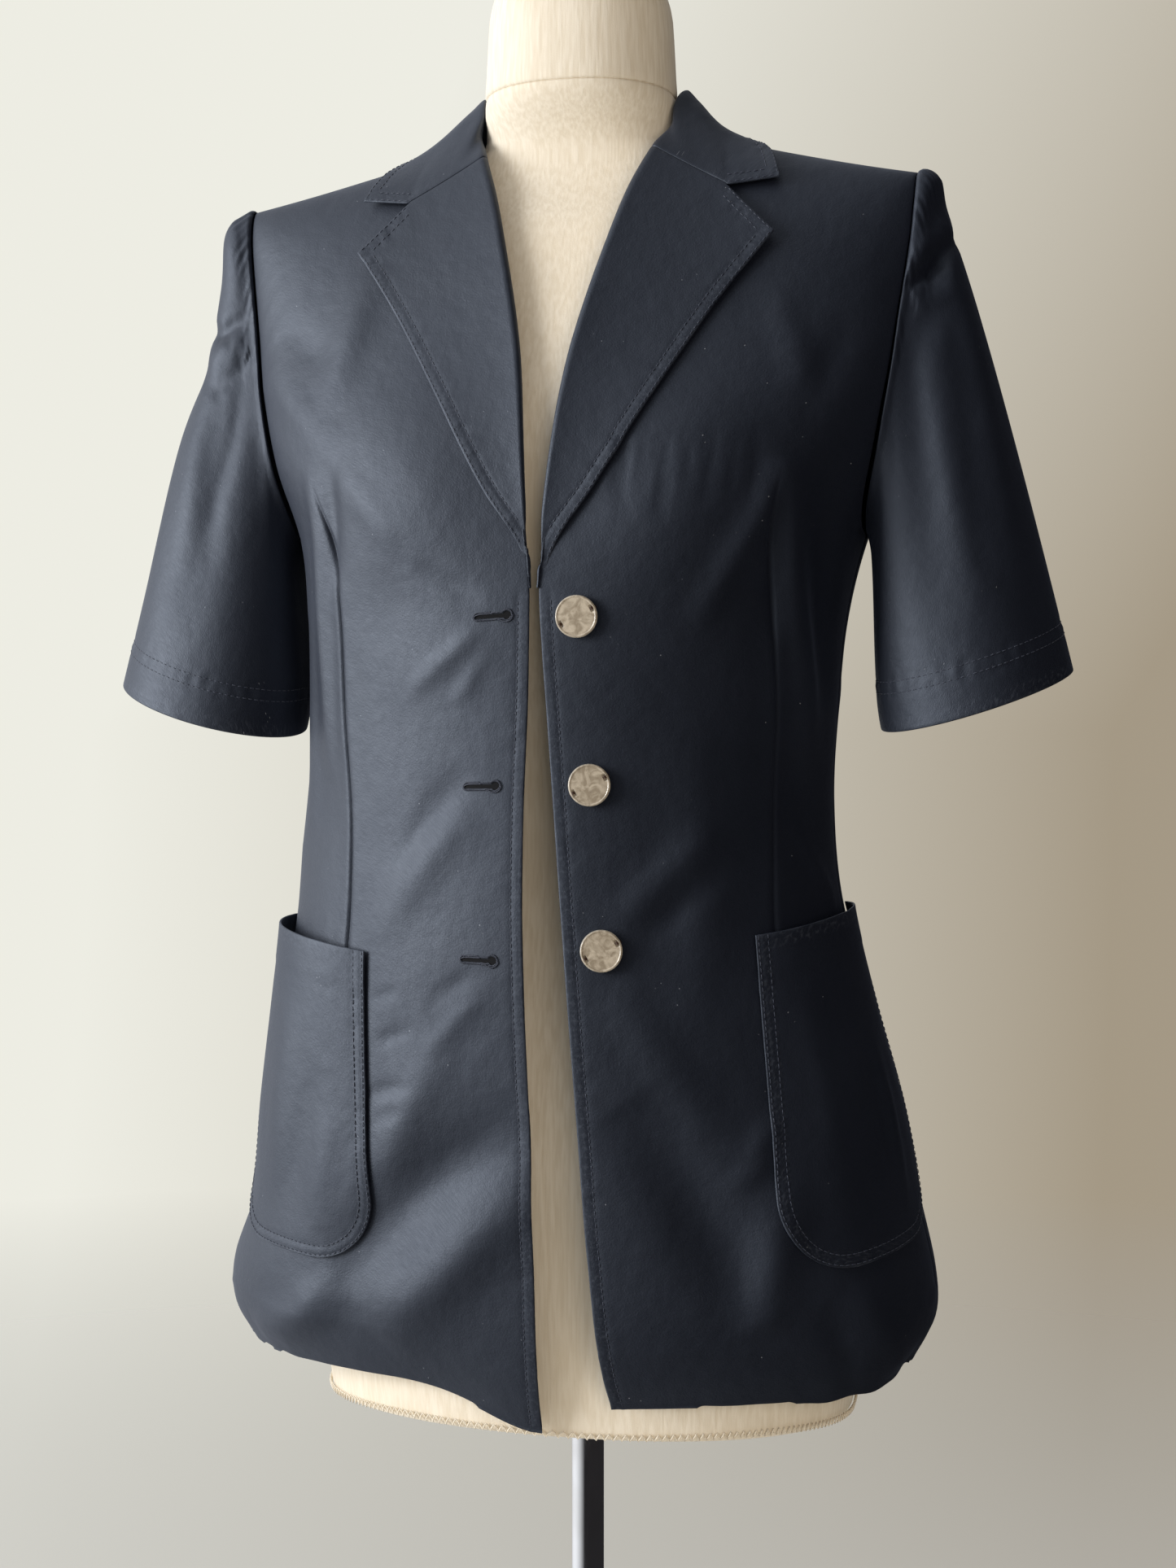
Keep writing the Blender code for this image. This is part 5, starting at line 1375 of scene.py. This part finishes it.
def pocket_place(side, away, up):
    """Turn and row of a point on the pocket, and its shares across and up. away is the distance round the
    body from the inner edge, up the height above the bottom."""
    size = POCKET[side]
    height = size["mouth"] - size["bottom"]
    level = up / height
    across = np.clip(away / (size["low"] + (size["high"] - size["low"]) * level), 0, 1)
    z = size["bottom"] + up + size["rise"] * across * (0.4 + 0.6 * level)
    row = on_front(side, np.full(z.shape, 0.02), z)[1]
    turn = turn_after(side, row, front_boundary(side, row), size["inset"] + away)
    return turn, row, across, level


def pocket_face(side, away, up):
    """The pocket's face and its normals. It stands off the coat by
    open * sin(pi across^1.25)^0.8 * level^1.2."""
    turn, row, across, level = pocket_place(side, away, up)
    gape = np.sin(np.pi * across**1.25).clip(0) ** 0.8
    stand_off = POCKET[side]["open"] * gape * np.clip(level, 0, 1) ** 1.2
    normal = coat_normal(side, turn, row)
    return coat(side, turn, row) + normal * (CLOTH + SEAM + 0.0006 + stand_off)[..., None], normal


def pocket_grid(side, margin):
    """Distances across and up for a pocket's grid, inside its outline by margin. The lower corners are
    quarter rounds, x = r - sqrt(r^2 - (r - up)^2)."""
    size = POCKET[side]
    height = size["mouth"] - size["bottom"]
    up = np.r_[0, 0.0006, 0.0014, 0.0026, 0.0042, 0.0060, 0.0068, 0.0080, np.linspace(0.0105, 0.042, 13),
               np.linspace(0.046, height, 42)]
    up = margin + up * (height - margin) / height
    radius = POCKET_CORNER - margin
    below = np.clip(POCKET_CORNER - up, 0, radius)
    short = margin + radius - np.sqrt(np.clip(radius**2 - below**2, 0, None))
    width = size["low"] + (size["high"] - size["low"]) * up / height
    share = np.r_[0, 0.012, 0.026, 0.040, 0.052, 0.066, 0.082, np.linspace(0.105, 0.895, 34), 0.918, 0.934,
                  0.948, 0.960, 0.974, 0.988, 1]
    away = short[:, None] + (width - 2 * short)[:, None] * share
    return away, np.broadcast_to(up[:, None], away.shape)


def from_outline(side, away, up):
    """Distance inward from the pocket's outline, and the way along it from the inner end of the mouth."""
    size = POCKET[side]
    height = size["mouth"] - size["bottom"]
    width = size["low"] + (size["high"] - size["low"]) * up / height
    first_half = away < width / 2
    aside = np.where(first_half, away, width - away)
    r = POCKET_CORNER
    in_corner = (aside < r) & (up < r)
    inward = np.where(in_corner, r - np.hypot(r - aside, r - up), np.minimum(aside, up))
    turned_by = np.arctan2(r - up, np.maximum(r - aside, 1e-6))
    side_way = np.where(in_corner, height - r + r * turned_by, height - up)
    bottom_way = height - r + r * np.pi / 2 + (aside - r)
    along = np.where(in_corner | (aside < up), side_way, bottom_way)
    return inward, np.where(first_half, along, 2 * height + width - along)


for side in SIDES:
    away, up = pocket_grid(side, 0.0)
    points, normal = pocket_face(side, away, up)
    inward, along = from_outline(side, away, up)
    lift = sewn_edge(inward, along, POCKET_ROWS[1], seed=41 + SIDES[side])
    lift -= 0.00030 * np.exp(-(((inward - POCKET_ROWS[0]) / 0.0006) ** 2))
    for where, wide, depth, lean, marks in POCKET_CREASES:
        if where == side:
            a, b = smooth_marks(marks)
            size = POCKET[side]
            height = size["mouth"] - size["bottom"]
            line = pocket_face(side, (a * size["high"])[None], (b * height)[None])[0][0]
            lift += crease_height(points, normal, line, wide, depth, lean)
    from_mouth = up.max() - up
    lift += 0.00035 * np.clip((0.022 - from_mouth) / 0.002, 0, 1)
    points = points + normal * lift[..., None]
    normal = grid_normal(points)
    normal *= np.sign(-normal[30, 20, 1])
    made = shell(f"pocket_patch_{side}", points, normal, sateen,
                 marks={"edge": np.minimum(inward, from_mouth)})
    runs = []
    for margin in POCKET_ROWS:
        a, b = pocket_grid(side, margin)
        path = [np.r_[g[::-1, 0], g[0, 1:-1], g[:, -1]] for g in (a, b)]
        run, run_up = pocket_face(side, path[0][None], path[1][None])
        runs.append((run[0] + run_up[0] * 0.0001, run_up[0]))
    rows = stitches(f"pocket_stitches_{side}", runs, thread)
    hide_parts(f"pocket_{side}")
    for piece in (made, rows):
        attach(piece, "root")


# Buttonholes. Three keyhole buttonholes in the wearer's right front, cut through the cloth and worked round
# with close thread, the round eye toward the front edge. Each cut is a near-black sheet on the cloth: painted
# shade.
BUTTONHOLE_HEIGHTS = (1.1436, 1.0511, 0.9558)
BUTTONHOLE_FROM_EDGE = (0.0125, 0.0165, 0.0175)  # the eye's distance from the front edge, from the top down
BUTTONHOLE_LONG = 0.0195
EYE_RADIUS = 0.0022
SLIT_HALF = 0.00085


def keyhole(count, spread):
    """The outline of a keyhole, spread outward: x along the slit from the eye's middle, y across it. The eye
    is an arc and the slit's two sides are straight, drawn together at its far end."""
    eye = EYE_RADIUS + spread
    slit = SLIT_HALF + spread
    opening = np.arcsin(slit / eye)
    angle = np.linspace(opening, 2 * np.pi - opening, 40)
    arc = np.stack([eye * np.cos(angle), eye * np.sin(angle)], -1)
    far = BUTTONHOLE_LONG - EYE_RADIUS
    end = np.linspace(-np.pi / 2, np.pi / 2, 9)
    cap = np.stack([far + slit * np.cos(end), slit * np.sin(end)], -1)
    loop = np.concatenate([arc, cap])
    loop = np.concatenate([loop, loop[:1]])
    way = way_along(loop)
    at = np.linspace(0, way[-1], count + 1)[:-1]
    return np.stack([np.interp(at, way, loop[:, k]) for k in (0, 1)], -1)


def on_right_front(number, plane):
    """A buttonhole's plane points carried onto the right front: x runs away from the edge, y up."""
    z = BUTTONHOLE_HEIGHTS[number] + plane[..., 1] - plane[..., 0] * 0.04
    row = on_front("right", np.full(z.shape, 0.03), z)[1]
    away = BUTTONHOLE_FROM_EDGE[number] + plane[..., 0]
    turn = turn_after("right", row, front_boundary("right", row), away)
    return coat("right", turn, row), coat_normal("right", turn, row)


# the slit's near-black sheet is painted shade in the cut
slit_shade, _, _ = new_material("slit_shadow", base_color=(0.002, 0.002, 0.003, 1), roughness=0.95)
for number in range(3):
    count = 96
    shares = np.array((0.0, 0.35, 0.7, 1.0))
    rim_line = keyhole(count, 0.0002)
    core = np.stack([np.clip(rim_line[:, 0], 0, BUTTONHOLE_LONG), 0 * rim_line[:, 1]], -1)
    plane = core[None] + (rim_line - core)[None] * shares[:, None, None]
    hole, hole_up = on_right_front(number, plane)
    hole = hole + hole_up * 0.00006
    slit = shell(f"buttonhole_slit_{number + 1}", hole, hole_up, slit_shade, thick=0.0001, ring=True)
    inside, inside_up = on_right_front(number, keyhole(count, 0.0001))
    outside, outside_up = on_right_front(number, keyhole(count, 0.0019))
    runs = [
        (np.stack([a + u * 0.0002, (a + b) / 2 + u * 0.00055, b + w * 0.0001]), np.stack([u, u, w]))
        for a, b, u, w in zip(inside, outside, inside_up, outside_up)
    ]
    rim = stitches(f"buttonhole_thread_{number + 1}", runs, thread, length=0.00135, gap=0.0001,
                   radius=0.00020)
    for piece in (slit, rim):
        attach(piece, "root")


# Buttons. Three pearly discs on the wearer's left front, each with a slightly raised rim, a shallow domed
# face and two slots near its edge through which brown thread holds it.
BUTTON_RADIUS = 0.0115
BUTTON_THICK = 0.0030
BUTTON_THREAD = 0.00028  # half the sewing thread's thickness
BUTTON_HEIGHTS = (1.1425, 1.0520, 0.9625)
BUTTON_FROM_EDGE = 0.0205
SLOT_AT = 0.0093  # the slots' distance from the middle
SLOT_HALF = (0.00075, 0.0016)  # half sizes of a slot, outward and round
SLOT_TURN = np.radians(27)


def pearl_finish():
    """Mother of pearl: cream and grey layers that wander across the disc, with a painted sheen, under a clear
    gloss.
    """
    made, tree, shader = new_material("pearl", coat_weight=0.6, coat_roughness=0.12, specular_ior_level=0.6)
    place = node(tree, "ShaderNodeTexCoord").outputs["Object"]
    layers = node(tree, "ShaderNodeTexNoise",
                  {"Vector": place, "Scale": 160.0, "Detail": 5.0, "Distortion": 1.6}).outputs["Fac"]
    fine = noise(tree, place, 700.0, 3.0)
    tone = level(tree, layers, 0.38, 0.62)
    base = mix_colour(tree, tone, (0.30, 0.25, 0.185, 1), (0.52, 0.455, 0.36, 1))
    # painted sheen: the colour turns pale grey where the face is seen edge on
    painted_sheen = node(tree, "ShaderNodeLayerWeight", {"Blend": 0.35}).outputs["Facing"]
    tree.links.new(mix_colour(tree, level(tree, painted_sheen, 0.1, 0.9, 0, 0.5), base, (0.56, 0.56, 0.52, 1)),
                   shader.inputs["Base Color"])
    tree.links.new(level(tree, fine, 0.3, 0.7, 0.22, 0.42), shader.inputs["Roughness"])
    relief = node(tree, "ShaderNodeBump", {"Strength": 0.12, "Distance": 0.0003, "Height": layers})
    tree.links.new(relief.outputs[0], shader.inputs["Normal"])
    return made


def button_shape():
    """Rings of the button from the middle of its back round the rim to the middle of its face. The face sinks
    1.3 mm inside each slot."""
    radius = BUTTON_RADIUS
    rim = np.array(((0.80, 0.0), (0.93, 0.06), (0.985, 0.22), (1.0, 0.48), (0.992, 0.74), (0.970, 0.90),
                    (0.945, 0.985), (0.925, 1.0), (0.905, 0.975), (0.885, 0.90), (0.870, 0.86)))
    face = np.linspace(0.862, 0.0, 44)
    profile = np.concatenate([rim, np.stack([face, 0.86 + 0.06 * (1 - (face / 0.87) ** 2)], -1)])[:-1]
    angle = 2 * np.pi * np.arange(160) / 160
    r = profile[:, :1] * radius
    x, y = r * np.cos(angle), r * np.sin(angle)
    z = np.broadcast_to(profile[:, 1:] * BUTTON_THICK, x.shape).copy()
    for end in (0, np.pi):
        out = x * np.cos(SLOT_TURN + end) + y * np.sin(SLOT_TURN + end) - SLOT_AT
        round_way = -x * np.sin(SLOT_TURN + end) + y * np.cos(SLOT_TURN + end)
        inside = np.maximum(np.abs(out) / SLOT_HALF[0], np.abs(round_way) / SLOT_HALF[1])
        z -= 0.0013 * np.clip((1.25 - inside) / 0.35, 0, 1) * (z > 0.5 * BUTTON_THICK)
    return np.stack([x, y, z], -1)


def thread_loops():
    """Brown thread from each slot over the button's edge: three strands side by side."""
    runs = []
    for end in (0, np.pi):
        out = np.array((np.cos(SLOT_TURN + end), np.sin(SLOT_TURN + end), 0))
        beside = np.array((-out[1], out[0], 0))
        for shift in (-0.00055, 0.0, 0.00055):
            angle = np.linspace(0, 1, 14)
            along = out * (SLOT_AT - 0.0008) + np.outer(angle, out) * (BUTTON_RADIUS - SLOT_AT + 0.0012)
            high = BUTTON_THICK * (0.62 + 0.50 * np.sin(np.pi * angle**0.8) - 0.62 * angle**2)
            runs.append(along + beside * shift + np.outer(high, (0, 0, 1)))
    return runs


def tube(path, radius):
    """A round tube along a path: rings of radius (cos a, sin a) across its direction, drawn to a point at the
    ends. Returns points and faces."""
    sides = 8
    ahead = np.gradient(path, axis=0)
    ahead /= np.linalg.norm(ahead, axis=-1, keepdims=True)
    side_way = np.cross(ahead, (0.31, 0.52, 0.79))
    side_way /= np.linalg.norm(side_way, axis=-1, keepdims=True)
    up = np.cross(side_way, ahead)
    angle = 2 * np.pi * np.arange(sides) / sides
    size = radius * np.r_[0.4, np.ones(len(path) - 2), 0.4]
    ring = side_way[:, None] * np.cos(angle)[:, None] + up[:, None] * np.sin(angle)[:, None]
    points = (path[:, None] + ring * size[:, None, None]).reshape(-1, 3)
    index = np.arange(len(path) * sides).reshape(-1, sides)
    after = np.roll(index, -1, axis=1)
    walls = np.stack([index[:-1], after[:-1], after[1:], index[1:]], -1).reshape(-1, 4)
    fan = np.array([(0, k, k + 1, k + 2) for k in range(1, sides - 1, 2)])
    return points, np.concatenate([walls[:, ::-1], fan, index[-1, 0] + fan[:, ::-1]])


pearl = pearl_finish()
brown, _, _ = new_material("brown_thread", base_color=(0.055, 0.026, 0.014, 1), roughness=0.5)
disc = button_shape()
for number, height in enumerate(BUTTON_HEIGHTS, 1):
    row = on_front("left", np.array(0.03), height)[1]
    turn = turn_after("left", row, front_boundary("left", row), np.array(BUTTON_FROM_EDGE))
    normal = coat_normal("left", turn, row)
    side_way = np.cross((0, 0, 1.0), normal)
    side_way /= np.linalg.norm(side_way)
    axes = np.stack([side_way, np.cross(normal, side_way), normal])
    place = coat("left", turn, row) + normal * (SEAM + 0.0002)
    made = closed_rings(f"button_disc_{number}", place + disc @ axes, pearl)
    loops = [tube(path, BUTTON_THREAD) for path in thread_loops()]
    size = len(loops[0][0])
    held = place_mesh(
        f"button_thread_{number}",
        np.concatenate([place + points @ axes for points, _ in loops]),
        np.concatenate([faces + k * size for k, (_, faces) in enumerate(loops)]),
        brown,
    )
    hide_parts(f"button_{number}")
    for piece in (made, held):
        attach(piece, "root")


# Studio. A plain pale floor that fades into a pale surround and isn't mirrored in the chrome. As seen, the
# surround carries painted shade, darker and browner toward the right. The light comes as through one large
# window on the left. A warm fill from the front right lights matt surfaces alone, and the surround gives a
# little from everywhere, less from the right.
FLOOR_REACH = 9.0
FLOOR_PALE = (0.74, 0.72, 0.66)


def floor_finish():
    """Pale matt floor, which lets the surround through more and more from 0.6 m away."""
    made, tree, shader = new_material("pale_floor", roughness=0.8, specular_ior_level=0.15)
    shader.inputs["Base Color"].default_value = (*FLOOR_PALE, 1)
    place = node(tree, "ShaderNodeTexCoord").outputs["Object"]
    away = node(tree, "ShaderNodeVectorMath", {0: place}, operation="LENGTH").outputs["Value"]
    tree.links.new(level(tree, away, 0.6, 4.0, 1.0, 0.0), shader.inputs["Alpha"])
    return made


angle = 2 * np.pi * np.arange(96) / 96
rings = np.linspace(0.0, 1.0, 24)[1:, None] ** 1.5 * FLOOR_REACH
floor_points = np.stack([rings * np.cos(angle), rings * np.sin(angle), 0 * rings * angle - 0.0005], -1)
floor_points = floor_points.reshape(-1, 3)
index = np.arange(len(floor_points)).reshape(-1, 96)
after = np.roll(index, -1, axis=1)
walls = np.stack([index[:-1], index[1:], after[1:], after[:-1]], -1).reshape(-1, 4)
hub = 0 * index[0, 0::2] + len(floor_points)
middle = np.stack([index[0, 0::2], index[0, 1::2], np.roll(index[0, 0::2], -1), hub], -1)
floor_points = np.concatenate([floor_points, [(0, 0, -0.0005)]])
floor = place_mesh("floor", floor_points, np.concatenate([walls, middle]), floor_finish())
floor.visible_glossy = False


def surround():
    """The pale room: seen directly it is a wall with painted shade, bright on the left and darker and browner
    on the right, and as light it falls off the same way, only more."""
    room = bpy.data.worlds.new("surround")
    room.use_nodes = True
    tree = room.node_tree
    background = tree.nodes["Background"]
    toward = node(tree, "ShaderNodeTexCoord").outputs["Generated"]
    aside = node(tree, "ShaderNodeVectorMath", {0: toward, 1: (0.97, -0.15, 0)}, operation="DOT_PRODUCT")
    up = node(tree, "ShaderNodeSeparateXYZ", {0: toward}).outputs["Z"]
    up = combine(tree, "MAXIMUM", up, 0.0)
    apart = combine(tree, "MULTIPLY_ADD", up, -0.55, aside.outputs["Value"])
    # painted shade: the wall seen by the camera darkens toward the right
    wall = mix_colour(tree, level(tree, apart, -0.57, -0.16), (0.85, 0.845, 0.77, 1), (0.37, 0.315, 0.235, 1))
    light = mix_colour(tree, level(tree, apart, -0.95, -0.05), (0.95, 0.97, 1.0, 1), (0.018, 0.017, 0.018, 1))
    seen = node(tree, "ShaderNodeLightPath").outputs["Is Camera Ray"]
    tree.links.new(mix_colour(tree, seen, light, wall), background.inputs["Color"])
    return room


bpy.context.scene.world = surround()
bpy.context.scene.view_settings.view_transform = "Standard"


def soft_light(name, place, aim, size, power, colour, shines_back=True):
    """A rectangular area light at place that shines toward aim. Where shines_back is False, it lights matt
    surfaces and isn't mirrored in glossy ones."""
    lamp = bpy.data.objects.new(name, bpy.data.lights.new(name, "AREA"))
    lamp.data.shape = "RECTANGLE"
    lamp.data.size, lamp.data.size_y = size
    lamp.data.energy = power
    lamp.data.color = colour
    lamp.location = place
    lamp.visible_glossy = shines_back
    away = np.array(place, float) - aim
    tilt = np.arccos(away[2] / np.linalg.norm(away))
    lamp.rotation_euler = (tilt, 0, np.arctan2(away[1], away[0]) + np.pi / 2)
    bpy.context.scene.collection.objects.link(lamp)


soft_light("window_light", (-2.50, -1.50, 1.62), (0, 0, 1.10), (1.5, 1.6), 86, (0.985, 0.99, 1.0))
soft_light("fill_light", (1.5, -2.4, 1.3), (0, 0, 1.0), (2.0, 2.0), 31, (1.0, 0.88, 0.74), shines_back=False)
